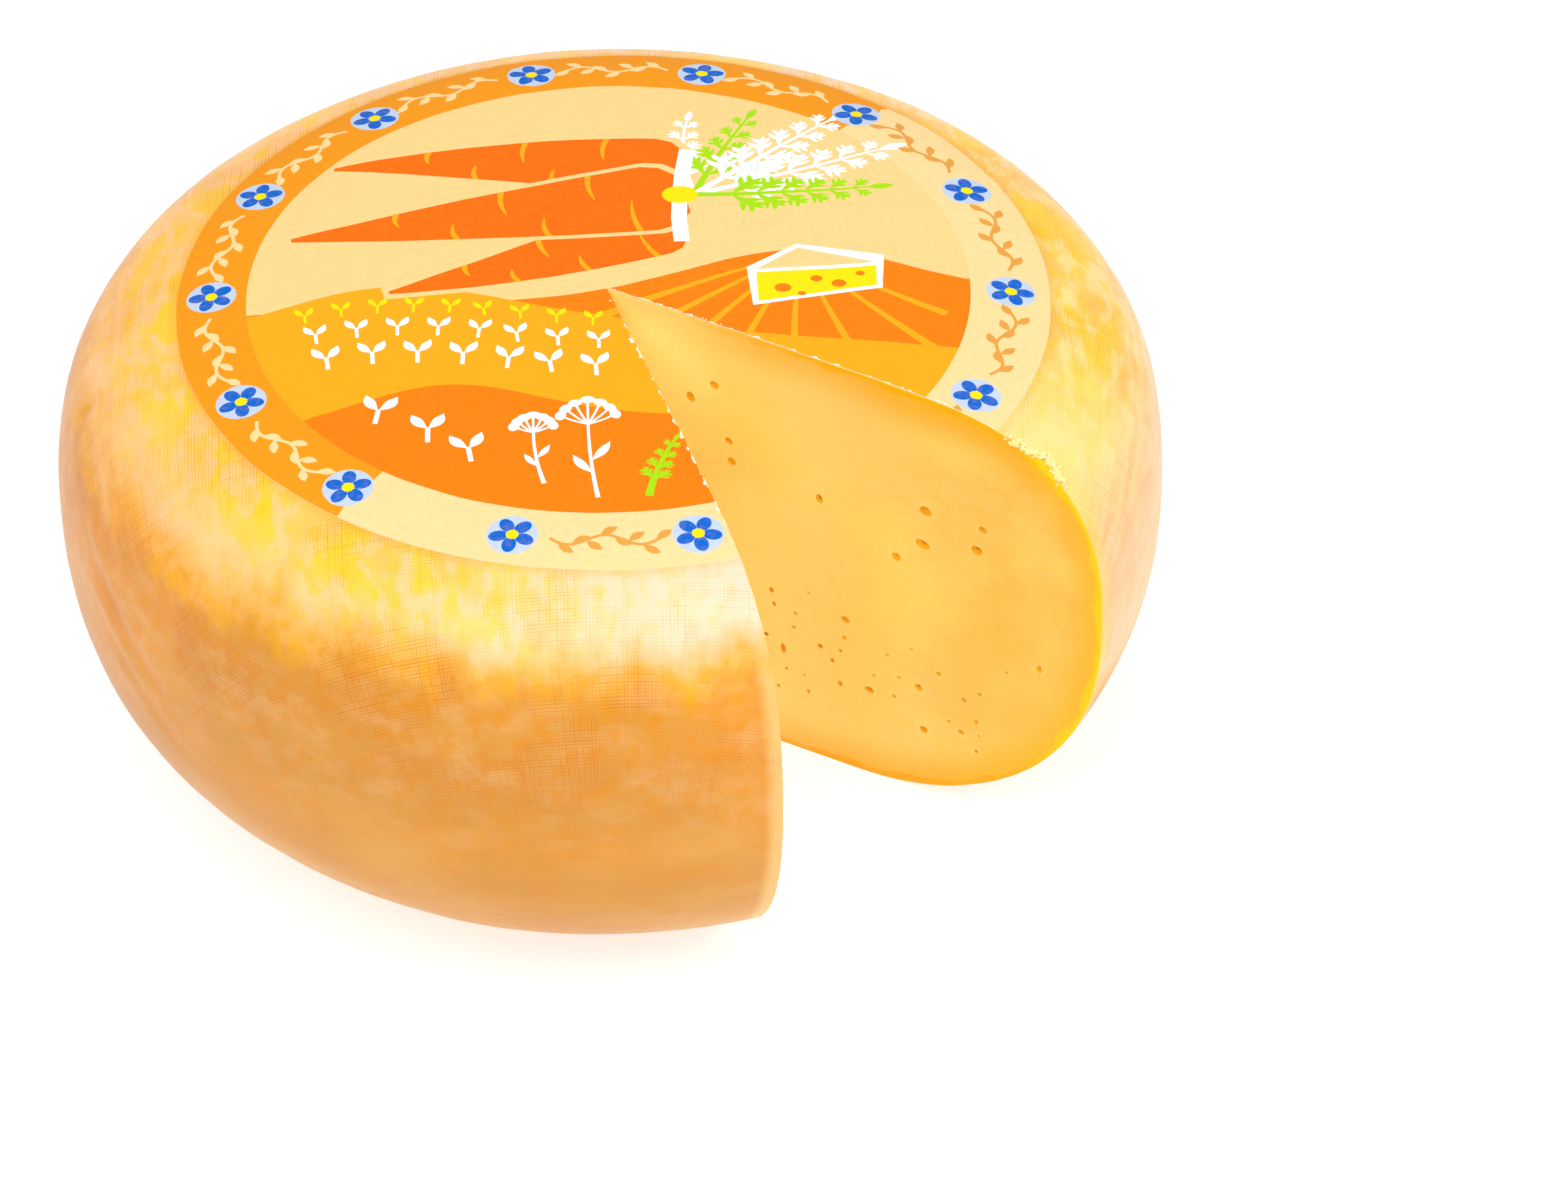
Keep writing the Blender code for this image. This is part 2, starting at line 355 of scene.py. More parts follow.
def paint(tree, ground, coats, mode="MIX"):
    """Lays coats over a ground. Each is a colour, then the zones and the share of cover it is laid in."""
    for shade, *zones in coats:
        under, over = (colour(coat) if isinstance(coat, str) else coat for coat in (ground, shade))
        layers = {0: product(tree, *zones), "A": under, "B": over}
        ground = add(tree, "ShaderNodeMix", layers, data_type="RGBA", blend_type=mode)
    return ground


def emboss(tree, *reliefs):
    """Bumps one over another, each given by its height, its strength and the depth in mm it stands for."""
    normal = {}
    for height, strength, depth_mm in reliefs:
        relief = {"Height": height, "Strength": strength, "Distance": depth_mm * MM}
        normal = {"Normal": add(tree, "ShaderNodeBump", {**relief, **normal})}
    return normal["Normal"]


def dress(tree, surface, normal):
    """Gives the shader its painted colour and its relief."""
    shader = tree.nodes["Principled BSDF"]
    tree.links.new(surface.outputs[2], shader.inputs["Base Color"])
    tree.links.new(normal.outputs[0], shader.inputs["Normal"])


def net_lines(tree, net):
    """Fine lines where the net's threads lay, both ways, some pulled tighter than others."""
    lines = 0.0
    for across in add(tree, "ShaderNodeSeparateXYZ", {0: net}).outputs[:2]:
        threads = product(tree, across, 1 / NET_PITCH_MM)
        number = add(tree, "ShaderNodeMath", {0: threads}, operation="FLOOR")
        tightness = add(tree, "ShaderNodeTexWhiteNoise", {"W": number}, noise_dimensions="1D")
        tightness = add(tree, "ShaderNodeMapRange", {"Value": tightness, "To Min": THREAD_SLACK})
        wave = add(tree, "ShaderNodeMath", {0: product(tree, threads, math.tau)}, operation="SINE")
        wave = add(tree, "ShaderNodeMapRange", {"Value": wave, "From Min": 0.2})
        lines = {0: product(tree, wave, tightness), 1: lines}
        lines = add(tree, "ShaderNodeMath", lines, operation="MAXIMUM")
    return lines


def rind_material():
    """Clear yellow polymer coating, brushed over an orange rind: a satin gloss.

    It gives a pale shoulder with yellow patches, an orange side with brush strokes, and the net's square
    weave as fine darker lines. A painted highlight whitens the front of the shoulder, a patch on the left and
    a band by the near cut; painted shade darkens the side away from the lamps, the net's folds and the side
    that faces the front soft box, and, with the coating's own deeper orange, the upper side; a painted shadow
    line runs round the label's edge. Sizes and limits are in millimetres.
    """
    material, tree = new_material("coated_rind", {
        "Roughness": 0.45,
        "IOR": 1.45,
        "Specular IOR Level": 0.2,
        "Coat Weight": 0.3,
        "Coat Roughness": 0.25,
        "Subsurface Weight": 0.1,
        "Subsurface Radius": (1.0, 0.5, 0.2),
        "Subsurface Scale": 3 * MM,
    })
    place, (x, y, height) = place_in_mm(tree)
    to_right = zone(tree, (x, 30, 80))
    # Towards the side away from the lamps, which is given painted shade.
    shaded_side = zone(tree, (distance_along(tree, place, SHADE_DEG), 5, 75))
    net = add(tree, "ShaderNodeAttribute", attribute_name="on_net_mm").outputs["Vector"]
    wander = add(tree, "ShaderNodeTexNoise", {"Vector": place, "Scale": 1 / 13, "Detail": 1.0})
    wander = {0: wander.outputs["Color"], 1: (THREAD_WANDER_MM,) * 3, 2: net}
    net = add(tree, "ShaderNodeVectorMath", wander, operation="MULTIPLY_ADD")
    cells = add(tree, "ShaderNodeVectorMath", {0: net, 1: (NET_PITCH_MM,) * 3}, operation="SNAP")
    brushed = add(tree, "ShaderNodeMapping", {"Vector": place, "Scale": (0.5, 0.5, 1.0)})
    streaked = add(tree, "ShaderNodeMapping", {"Vector": cells, "Scale": (1.0, 0.5, 1.0)})

    upper = zone(tree, (height, 38, 72))
    in_fold = add(tree, "ShaderNodeAttribute", attribute_name="in_fold_mm").outputs["Fac"]
    in_fold = add(tree, "ShaderNodeMapRange", {"Value": in_fold, "From Max": 0.45, "To Max": 0.5})
    side = paint(tree, "#D08A24", (
        ("#D8993C", mottle(tree, brushed, 20, 0.38, 0.64, 4.0)),
        ("#D5880E", mottle(tree, brushed, 5, 0.46, 0.66, 5.0), 0.6),
        # Painted shade: the lower side away from the lamps is darker.
        ("#C07A28", shaded_side, zone(tree, (height, 75, 40)), 0.5),
        # The upper side in a deeper orange: partly the coating's own colour, partly painted shade.
        ("#DC9432", upper, 0.75),
        ("#E8AA66", mottle(tree, brushed, 6, 0.38, 0.74, 6.0), zone(tree, (height, 34, 74)), 0.6),
        ("#E08C08", mottle(tree, cells, 5, 0.44, 0.64, 5.0), upper, 0.7),
        # Painted shade: the net's folds are darker orange.
        ("#DC8418", in_fold),
    ))

    # Pale cream: whiter to the front, partly painted highlight; peachier away from the lamps, painted shade.
    cream = paint(tree, "#FFC88C", (
        ("#FFD8C4", zone(tree, (x, -60, 30))),
        ("#FFDA92", to_right),
        ("#FFC694", to_right, zone(tree, (height, 97, 72))),
        ("#FFC68C", shaded_side),
    ))
    # Painted highlight: the shoulder's front and the left soft box's reflection go pale, with fewer patches.
    left_box_reflection = zone(tree, (distance_along(tree, place, LEFT_BOX_REFLECTION_DEG), 92, 108))
    painted_highlight = {0: zone(tree, (x, -50, 20), (y, -5, -45)), 1: product(tree, left_box_reflection, 0.8)}
    painted_highlight = add(tree, "ShaderNodeMath", painted_highlight, operation="MAXIMUM")
    off_highlight = add(tree, "ShaderNodeMapRange", {"Value": painted_highlight, "To Min": 1.0, "To Max": 0.3})
    pale = {0: mottle(tree, streaked, 10, 0.34, 0.54, 5.0), 1: product(tree, painted_highlight, 0.85)}
    pale = add(tree, "ShaderNodeMath", pale, operation="MAXIMUM")
    wetness = add(tree, "ShaderNodeMath", {0: to_right, 1: 5.0, 2: height}, operation="MULTIPLY_ADD")
    shoulder = paint(tree, "#FFC25A", (
        (cream, pale),
        ("#FFC21C", mottle(tree, streaked, 3.4, 0.47, 0.61, 4.0), zone(tree, (wetness, 84, 97)), off_highlight, 0.68),
        ("#FFC808", mottle(tree, streaked, 10, 0.48, 0.56, 6.0), zone(tree, (wetness, 95, 102)), off_highlight, 0.86),
        ("#FFB878", mottle(tree, streaked, 4, 0.46, 0.62, 5.0), zone(tree, (height, 94, 80)), to_right, 0.6),
    ))

    ragged = {"Vector": streaked, "Scale": 1 / 12, "Detail": 8.0, "Roughness": 0.62}
    ragged = add(tree, "ShaderNodeTexNoise", ragged)
    drained = zone(tree, (distance_along(tree, place, DRAINED_DEG), 10, 80))
    # Under the painted highlight, as on the left, the shoulder's colours reach lower.
    level = height
    for share, rise in ((ragged, 20.0), (drained, 50.0), (zone(tree, (x, -5, -50)), 2.5), (painted_highlight, 2.0)):
        level = add(tree, "ShaderNodeMath", {0: share, 1: rise, 2: level}, operation="MULTIPLY_ADD")
    behind = zone(tree, (distance_along(tree, place, BEHIND_DEG), 30, 108), (height, 98, 80))
    kept = add(tree, "ShaderNodeMapRange", {"Value": behind, "To Min": 1.0, "To Max": 0.2})
    golden = paint(tree, "#EBA62C", (
        ("#F0B050", mottle(tree, cells, 4.5, 0.44, 0.58, 5.0)),
        ("#F0A810", mottle(tree, streaked, 6, 0.48, 0.62, 5.0)),
    ))
    surface = paint(tree, side, ((golden, zone(tree, (level, 98, 105)), kept),))
    # Painted shade: the side that faces the front soft box is dimmed a little above mid height.
    front_box_shade = zone(tree, (distance_along(tree, place, FRONT_BOX_SHADE_DEG), 97, 109), (height, 50, 62))
    surface = paint(tree, surface, (("#F5FAFF", front_box_shade),), "MULTIPLY")

    # Painted shadow: a darker line on the rind just outside the label's edge, fainter at the front.
    from_label = {0: seen_from_above(tree, place), 1: (*LABEL_CENTRE_MM, 0.0)}
    from_label = add(tree, "ShaderNodeVectorMath", from_label, operation="DISTANCE").outputs["Value"]
    label_edge_shadow = zone(tree, (from_label, LABEL_RADIUS_MM + 2.8, LABEL_RADIUS_MM - 0.4))
    shadow_line_share = add(tree, "ShaderNodeMapRange", {"Value": painted_highlight, "To Min": 0.62, "To Max": 0.32})
    coats = [(shoulder, zone(tree, (level, 103, 112.5)), kept), ("#EAAC3C", label_edge_shadow, shadow_line_share)]
    # By the near cut a pale band, a painted highlight; by the far cut a band of yellow coating.
    for cut_deg, width, shade in ((NEAR_CUT_DEG, 4.5, "#FFD890"), (FAR_CUT_DEG, 6, "#FFD048")):
        ahead, beside = (distance_along(tree, place, cut_deg + turn) for turn in (0, 90))
        beside = add(tree, "ShaderNodeMath", {0: beside}, operation="ABSOLUTE")
        coats.append((shade, zone(tree, (beside, width, 1), (ahead, 0, 30), (height, 98, 86)), 0.5))
    surface = paint(tree, surface, coats)

    pressed = {"Value": mottle(tree, place, 20, 0.38, 0.62, 3.0), "To Min": 0.2}
    pressed = add(tree, "ShaderNodeMapRange", pressed)
    weave = product(tree, net_lines(tree, net), pressed, zone(tree, (height, 46, 78)))
    # The weave's lines fade under the painted highlight on the shoulder.
    painted = {"Value": product(tree, painted_highlight, zone(tree, (height, 90, 98))), "To Min": 0.9, "To Max": 0.5}
    painted = add(tree, "ShaderNodeMapRange", painted)
    surface = paint(tree, surface, (("#ECC078", weave, painted),), "MULTIPLY")
    wrinkle = add(tree, "ShaderNodeTexNoise", {"Vector": place, "Scale": 1 / 3.5, "Detail": 4.0})
    dress(tree, surface, emboss(tree, (product(tree, weave, -1.0), 0.6, 0.06), (wrinkle, 0.5, 0.28)))
    return material


rind_finish = rind_material()
outline_mesh = polyline_mesh("outline", [(radius, 0.0, height) for radius, height in wheel_outline()])
rind_mesh = grow("turned_rind", outline_mesh, turned_rind, rind_finish, {
    "Steps": RIND_STEPS,
    "Rings": RIND_RINGS,
    "Start Angle": math.radians(FAR_CUT_DEG),
    "Sweep": math.radians(360.0 + NEAR_CUT_DEG - FAR_CUT_DEG),
    "Lump Size": LUMP_SIZE,
    "Lump Depth": LUMP_DEPTH,
    "Dent Size": DENT_SIZE,
    "Dent Depth": DENT_DEPTH,
    "Level Foot Height": LEVEL_FOOT_HEIGHT,
})
press_net_folds(rind_mesh)
lay_net(rind_mesh)

# The cut faces
# The close, smooth paste inside, where a long knife went down from the rim to the middle. It opened small
# round eyes, dragged faint ripples across the paste, and crumbled the dry rind along the top of the far edge.

# The largest eyes of the far face, as seen: distance out from the axis, height, width and height of the hole.
FAR_EYES_MM = (
    (20.1, 87.1, 2.2, 2.8),
    (26.0, 92.3, 2.3, 2.4),
    (29.4, 78.7, 2.0, 1.9),
    (30.0, 73.4, 2.2, 2.4),
    (51.5, 71.3, 1.7, 2.6),
    (77.2, 77.4, 3.1, 2.6),
    (76.5, 68.3, 3.3, 2.8),
    (70.2, 62.6, 2.0, 2.6),
    (90.8, 77.4, 2.0, 2.0),
    (89.5, 71.5, 2.6, 2.6),
    (57.7, 40.5, 2.2, 1.9),
    (42.4, 26.8, 1.4, 2.8),
    (63.6, 23.2, 2.4, 1.8),
    (75.8, 28.8, 2.0, 1.8),
    (77.1, 17.4, 2.2, 1.9),
    (104.8, 45.1, 1.4, 2.2),
)
FACE_EYES_SEEDS = {"far": 5, "near": 12}
# How many eyes a rule adds, with their widths, and how far out and up they lie.
LARGE_EYES = (18, (1.7, 2.9), (18.0, 104.0), (14.0, 92.0))
SMALL_EYES = (30, (0.7, 1.5), (38.0, 104.0), (14.0, 46.0))
COMMONEST_RISE = 0.3
EYE_SPACING_MM = 3.4
# Past this reach the wheel curves in below this height, so no eye is there.
FOOT_CURVE_MM = (92.0, 36.0)
EYE_CORNERS = 14
EYE_WOBBLES = (0.04, 0.10)
EYE_HEIGHT_SHARES = (0.7, 1.15)
EYE_SHELLS = 4
EYE_DEPTH_SHARES = (0.32, 0.62)
# How dark the painted shade gets at the bottom of the darkest eyes, and its value at their rims.
DARKEST_EYE = 2.2
EYE_RIM_SHADE = 0.25

FACE_GRID_MM = 1.9
RIM_RING_DEPTHS_MM = (0.5, 1.1, 1.8, 2.8)
UPRIGHT_STEP_MM = 1.5
AXIS_CLEARANCE_MM = 2.0
EYE_CLEARANCE_MM = 0.6
RIM_CALM_MM = 4.0
AXIS_CALM_MM = 6.0
SAG_SIZE_MM = 26.0
SAG_HEIGHT_MM = 0.35
TORN_HEIGHTS_MM = (95.5, 104.0)
TORN_DEPTH_MM = 2.6
TORN_PITCH = 1.9
TORN_SHARE = 0.62
TORN_SWING = 0.9
LEAST_TORN_SHARE = 0.1
TORN_TAPER = 0.8
TORN_NOISE_AT = (7.3, 4.0)
CLEAN_CUT_WANDER_MM = 0.12
FAR_WANDER_PITCH = 0.7
NEAR_WANDER_PITCH = 0.9
ON_CUT = 0.3 * MM
DRAG_PITCH_MM = 0.8


def inside(polygon, points):
    """For each point, whether a level line from it crosses an odd number of the polygon's sides."""
    x, y = points[:, 0], points[:, 1]
    crossed = np.zeros(len(points), bool)
    for (x0, y0), (x1, y1) in zip(polygon, [*polygon[1:], polygon[0]]):
        if y0 != y1:
            crossed ^= ((y0 > y) != (y1 > y)) & (x < x0 + (y - y0) * (x1 - x0) / (y1 - y0))
    return crossed


def distance_to_line(points, line):
    """Each point's distance to an open line of points."""
    nearest = np.full(len(points), np.inf)
    for start, end in zip(line, line[1:]):
        run = np.subtract(end, start)
        share = np.clip((points - start) @ run / max(run @ run, 1e-12), 0, 1)
        nearest = np.minimum(nearest, np.linalg.norm(points - start - share[:, None] * run, axis=1))
    return nearest


def grid_points(low, high, step):
    """Points of a triangular grid over a rectangle."""
    points = []
    row_height = step * math.sqrt(3) / 2
    for row in range(int((high[1] - low[1]) / row_height) + 1):
        shift = step / 2 if row % 2 else 0.0
        for column in range(int((high[0] - low[0]) / step) + 1):
            points.append((low[0] + shift + column * step, low[1] + row * row_height))
    return np.array(points)


def ring_of(points, first):
    """The edges that close a run of points into a ring, counted on from the first."""
    return [(first + place, first + (place + 1) % len(points)) for place in range(len(points))]


def rim_of_eye(draw, reach, rise, width, height):
    """The wobbly oval that an eye opens in the face."""
    tilt = draw.uniform(0, math.pi)
    lean = draw.uniform(*EYE_WOBBLES)
    rim = []
    for corner in range(EYE_CORNERS):
        turn = math.tau * corner / EYE_CORNERS
        wobble = 1 + lean * math.cos(2 * turn + tilt) + lean / 2 * math.sin(3 * turn + 2 * tilt)
        rim.append((reach + width / 2 * wobble * math.cos(turn), rise + height / 2 * wobble * math.sin(turn)))
    return rim


def more_eyes(draw, eyes, count, widths, reaches, heights):
    """Adds eyes by a seeded rule between two heights, clear of the rim and of each other."""
    eyes = list(eyes)
    wanted = len(eyes) + count
    while len(eyes) < wanted:
        rise = draw.triangular(*heights, heights[0] + (heights[1] - heights[0]) * COMMONEST_RISE)
        reach = draw.uniform(*reaches)
        width = draw.uniform(*widths)
        clear = all(math.hypot(reach - eye[0], rise - eye[1]) > EYE_SPACING_MM for eye in eyes)
        if clear and (reach < FOOT_CURVE_MM[0] or rise > FOOT_CURVE_MM[1]):
            eyes.append((reach, rise, width, width * draw.uniform(*EYE_HEIGHT_SHARES)))
    return eyes


def wandered(height_mm, pitch=NEAR_WANDER_PITCH):
    """How far, in mm, the knife strayed into the cheese at a height."""
    return CLEAN_CUT_WANDER_MM * abs(math.sin(height_mm * pitch))


def crumbled(height_mm):
    """How far, in mm, the far cut's edge has crumbled back at a height."""
    low, high = TORN_HEIGHTS_MM
    share = min(max((height_mm - low) / (high - low), 0.0), 1.0)
    rough = noise.noise(Vector((height_mm * TORN_PITCH, *TORN_NOISE_AT)))
    depth = TORN_DEPTH_MM * math.sin(share * math.pi) ** TORN_TAPER
    torn = max(TORN_SHARE + TORN_SWING * rough, LEAST_TORN_SHARE)
    return wandered(height_mm, FAR_WANDER_PITCH) + depth * torn


def open_edge(shape, cut_deg):
    """The rind's open edge at a cut, from the middle of the top round to the middle of the foot."""
    reach = direction(cut_deg)
    found = []
    for corner in shape.verts:
        off = abs(corner.co.x * reach.y - corner.co.y * reach.x)
        if corner.is_boundary and off < ON_CUT and corner.co.dot(reach) > -ON_CUT:
            found.append(corner)
    return sorted(found, key=lambda c: -math.atan2(c.co.z - WHEEL_HEIGHT / 2, c.co.xy.length))


def fray_edge(edge, into_cheese, depth_at):
    """Moves the corners of an open edge round the axis, back into the cheese."""
    for corner in edge:
        radius = corner.co.xy.length
        if radius > MM:
            turn = into_cheese * depth_at(corner.co.z / MM) * MM / radius
            corner.co = Matrix.Rotation(turn, 3, "Z") @ corner.co


def close_cut(shape, edge, upright, cut_deg, outwards, eyes, draw):
    """Fills a cut face with triangles from the rind's edge to the upright at the axis, and sinks its eyes."""
    reach = direction(cut_deg)
    under_rind = shape.verts.layers.float["under_rind_mm"]
    in_eye = shape.verts.layers.float["in_eye"]
    on_face = shape.verts.layers.float_vector["on_face_mm"]

    rim_corners = edge + upright
    flat_rim = [(corner.co.dot(reach) / MM, corner.co.z / MM) for corner in rim_corners]
    rind_line = flat_rim[:len(edge)]
    points = list(flat_rim)
    edges = ring_of(flat_rim, 0)
    rims = [rim_of_eye(draw, *eye) for eye in eyes]
    for rim in rims:
        edges += ring_of(rim, len(points))
        points += rim
    for before, here, after in zip(rind_line, rind_line[1:], rind_line[2:]):
        run = np.subtract(after, before)
        inwards = np.array((run[1], -run[0])) / np.linalg.norm(run)
        if here[0] > AXIS_CLEARANCE_MM:
            points += [tuple(here + inwards * depth) for depth in RIM_RING_DEPTHS_MM]
    spread = grid_points((0.0, 0.0), (WHEEL_RADIUS / MM, WHEEL_HEIGHT / MM), FACE_GRID_MM)
    free = inside(flat_rim, spread) & (distance_to_line(spread, flat_rim + flat_rim[:1]) > FACE_GRID_MM / 2)
    free &= distance_to_line(spread, rind_line) > RIM_RING_DEPTHS_MM[-1] + FACE_GRID_MM / 2
    for reach_mm, rise_mm, width, height in eyes:
        off = np.hypot(spread[:, 0] - reach_mm, spread[:, 1] - rise_mm)
        free &= off > max(width, height) / 2 + EYE_CLEARANCE_MM
    points += [tuple(point) for point in spread[free]]

    points = [Vector(point) for point in points]
    flat, _, triangles, sources, _, _ = geometry.delaunay_2d_cdt(points, edges, [], 0, 1e-6)
    flat = np.array([tuple(point) for point in flat])
    middles = flat[np.array(triangles)].mean(1)
    kept = inside(flat_rim, middles)
    for rim in rims:
        kept &= ~inside(rim, middles)

    depths = distance_to_line(flat, rind_line)
    corners = []
    for point, depth, source in zip(flat, depths, sources):
        if source and source[0] < len(rim_corners):
            corners.append(rim_corners[source[0]])
            continue
        sag = noise.noise(Vector((point[0] / SAG_SIZE_MM, point[1] / SAG_SIZE_MM, cut_deg)))
        calm = min(depth / RIM_CALM_MM, point[0] / AXIS_CALM_MM, 1.0)
        lift = outwards * (sag * calm * SAG_HEIGHT_MM * MM)
        corner = shape.verts.new(reach * (point[0] * MM) + Vector((0, 0, point[1] * MM)) + lift)
        corner[under_rind] = depth
        corners.append(corner)
    for corner, point in zip(corners, flat):
        corner[on_face] = (point[0], point[1], 0.0)
    for triangle, keep in zip(triangles, kept):
        if keep:
            face = shape.faces.new([corners[place] for place in triangle])
            face.material_index = 1
            face.smooth = True

    place_of = {source[0]: place for place, source in enumerate(sources) if source}
    first = len(flat_rim)
    for eye, rim in zip(eyes, rims):
        ring = [corners[place_of[first + step]] for step in range(len(rim))]
        first += len(rim)
        sink_eye(shape, eye, ring, outwards, draw, in_eye, under_rind, on_face)


def sink_eye(shape, eye, ring, outwards, draw, in_eye, under_rind, on_face):
    """Closes an eye's rim with a round pit."""
    depth = min(eye[2], eye[3]) * draw.uniform(*EYE_DEPTH_SHARES) * MM
    shade = draw.triangular(1.0, DARKEST_EYE, 1.0)
    middle = sum((corner.co for corner in ring), Vector()) / len(ring)
    for corner, after in zip(ring, ring[1:] + ring[:1]):
        corner[in_eye] = EYE_RIM_SHADE
        shape.edges.get((corner, after)).smooth = False
    rim = ring
    for shell in range(1, EYE_SHELLS + 1):
        turn = math.pi / 2 * shell / EYE_SHELLS
        floor = -outwards * depth * math.sin(turn)
        places = [middle + (corner.co - middle) * math.cos(turn) + floor for corner in rim]
        if shell == EYE_SHELLS:
            places = [middle + floor]
        deeper = [shape.verts.new(place) for place in places]
        for corner in deeper:
            # The pit's corners carry the painted shade, darker with each shell.
            corner[in_eye] = EYE_RIM_SHADE + (shade - EYE_RIM_SHADE) * shell / EYE_SHELLS
            corner[under_rind] = ring[0][under_rind]
            corner[on_face] = ring[0][on_face]
        for place in range(len(ring)):
            after = (place + 1) % len(ring)
            inner = (deeper[0],) if len(deeper) == 1 else (deeper[after], deeper[place])
            face = shape.faces.new((ring[place], ring[after], *inner))
            face.material_index = 1
            face.smooth = True
        ring = deeper


def paste_material():
    """Fat, close cheese paste: satin where the knife smoothed it, deeper orange just under the rind.

    It glows a little and pales towards the middle, partly its own colour and partly painted light that makes
    up for the shade deep in the notch. It ends in a clear yellow line under the rind; its eyes have painted
    shade, golden on their walls and dark in their depth, and a painted highlight round their rims. The
    knife's drag shows as faint level streaks. Limits are in millimetres.
    """
    material, tree = new_material("gouda_paste", {
        "Roughness": 0.48,
        "Specular IOR Level": 0.18,
        "Subsurface Weight": 0.3,
        "Subsurface Radius": (1.0, 0.55, 0.2),
        "Subsurface Scale": 1.5 * MM,
    })
    place, (_, _, height) = place_in_mm(tree)
    depth = add(tree, "ShaderNodeAttribute", attribute_name="under_rind_mm").outputs["Fac"]
    hollow = add(tree, "ShaderNodeAttribute", attribute_name="in_eye").outputs["Fac"]
    on_face = add(tree, "ShaderNodeAttribute", attribute_name="on_face_mm").outputs["Vector"]
    reach = add(tree, "ShaderNodeVectorMath", {0: seen_from_above(tree, place)}, operation="LENGTH")
    reach = reach.outputs["Value"]

    # The paste pales towards the middle: partly its own colour, partly painted light.
    outer = add(tree, "ShaderNodeMapRange", {"Value": reach, "From Min": 10, "From Max": 105})
    # Painted light: paler deep in the notch and near the axis, where the cut faces shade each other.
    low, middle = zone(tree, (reach, 66, 16), (height, 100, 20)), zone(tree, (reach, 36, 12))
    inner = add(tree, "ShaderNodeMath", {0: low, 1: product(tree, middle, 0.7)}, operation="MAXIMUM")
    outwards = {"Value": reach, "From Min": 15, "From Max": 80, "To Min": 0.35}
    outwards = add(tree, "ShaderNodeMapRange", outwards)
    under_rind = {"Value": depth, "From Min": 12.5, "From Max": -1}
    under_rind = add(tree, "ShaderNodeMapRange", under_rind, interpolation_type="SMOOTHERSTEP")
    uneven = add(tree, "ShaderNodeTexNoise", {"Vector": place, "Scale": 1 / 7, "Detail": 4.0})
    uneven = add(tree, "ShaderNodeMath", {0: uneven, 1: 4.5, 2: depth}, operation="MULTIPLY_ADD")
    rim = paint(tree, "#FFB200", (
        ("#FFC800", zone(tree, (height, 106, 92))),
        ("#F0AA00", zone(tree, (height, 30, 12))),
    ))
    paste = paint(tree, "#FFE48E", (
        ("#FFB74A", outer),
        ("#FFD06A", mottle(tree, place, 34, 0.40, 0.62)),
        ("#FFD888", mottle(tree, place, 2.6, 0.30, 0.75, 5.0), 0.25),
        # Painted light deep in the notch.
        ("#FFFFB4", inner, 0.62),
        ("#FFAC38", zone(tree, (reach, 70, 100), (height, 80, 45)), 0.5),
        ("#FFB018", under_rind, outwards, 0.9),
        ("#FFAE24", zone(tree, (height, 84, 104), (depth, 16, 4), (reach, 50, 80)), 0.45),
        (rim, zone(tree, (uneven, 4.5, 3), (reach, 8, 60))),
        # Round the eyes a painted highlight; on their walls and in their depth painted shade, golden then
        # dark.
        ("#FFE6A0", zone(tree, (hollow, 0.02, 0.22)), 0.12),
        ("#F0B40C", zone(tree, (hollow, 0.22, 0.6))),
        ("#C07200", zone(tree, (hollow, 1.0, 1.8))),
    ))

    grain = add(tree, "ShaderNodeTexNoise", {"Vector": place, "Scale": 1 / 1.2, "Detail": 3.0})
    streaks = add(tree, "ShaderNodeMapping", {"Vector": on_face, "Scale": (0.14, 1.0, 1.0)})
    drag = add(tree, "ShaderNodeTexNoise", {"Vector": streaks, "Scale": 1 / DRAG_PITCH_MM, "Detail": 1.0})
    drag = product(tree, drag, mottle(tree, place, 24, 0.46, 0.60), zone(tree, (reach, 30, 80)))
    dress(tree, paste, emboss(tree, (grain, 0.3, 0.05), (drag, 0.8, 0.2)))
    return material


def make_wheel():
    """Closes both cuts of the rind into one solid wheel."""
    shape = bmesh.new()
    shape.from_mesh(rind_mesh)
    for face in shape.faces:
        face.material_index = 0
    shape.verts.layers.float.new("under_rind_mm")
    shape.verts.layers.float.new("in_eye")
    shape.verts.layers.float_vector.new("on_face_mm")
    far_edge, near_edge = (open_edge(shape, cut_deg) for cut_deg, _ in CUTS)
    fray_edge(far_edge, 1, crumbled)
    fray_edge(near_edge, -1, wandered)
    low, high = far_edge[-1].co.z, far_edge[0].co.z
    steps = int((high - low) / (UPRIGHT_STEP_MM * MM))
    upright = [shape.verts.new((0, 0, low + (high - low) * step / steps)) for step in range(1, steps)]

    draw = random.Random(FACE_EYES_SEEDS["far"])
    far_eyes = more_eyes(draw, FAR_EYES_MM, *SMALL_EYES)
    reach = direction(FAR_CUT_DEG)
    close_cut(shape, far_edge, upright, FAR_CUT_DEG, Vector((reach.y, -reach.x, 0)), far_eyes, draw)
    draw = random.Random(FACE_EYES_SEEDS["near"])
    near_eyes = more_eyes(draw, more_eyes(draw, (), *LARGE_EYES), *SMALL_EYES)
    reach = direction(NEAR_CUT_DEG)
    close_cut(shape, near_edge, upright, NEAR_CUT_DEG, Vector((-reach.y, reach.x, 0)), near_eyes, draw)

    for corners in (far_edge, near_edge, [far_edge[-1], *upright, far_edge[0]]):
        for first, second in zip(corners, corners[1:]):
            shape.edges.get((first, second)).smooth = False
    bmesh.ops.recalc_face_normals(shape, faces=shape.faces[:])
    mesh = bpy.data.meshes.new("gouda_wheel")
    shape.to_mesh(mesh)
    shape.free()
    return mesh


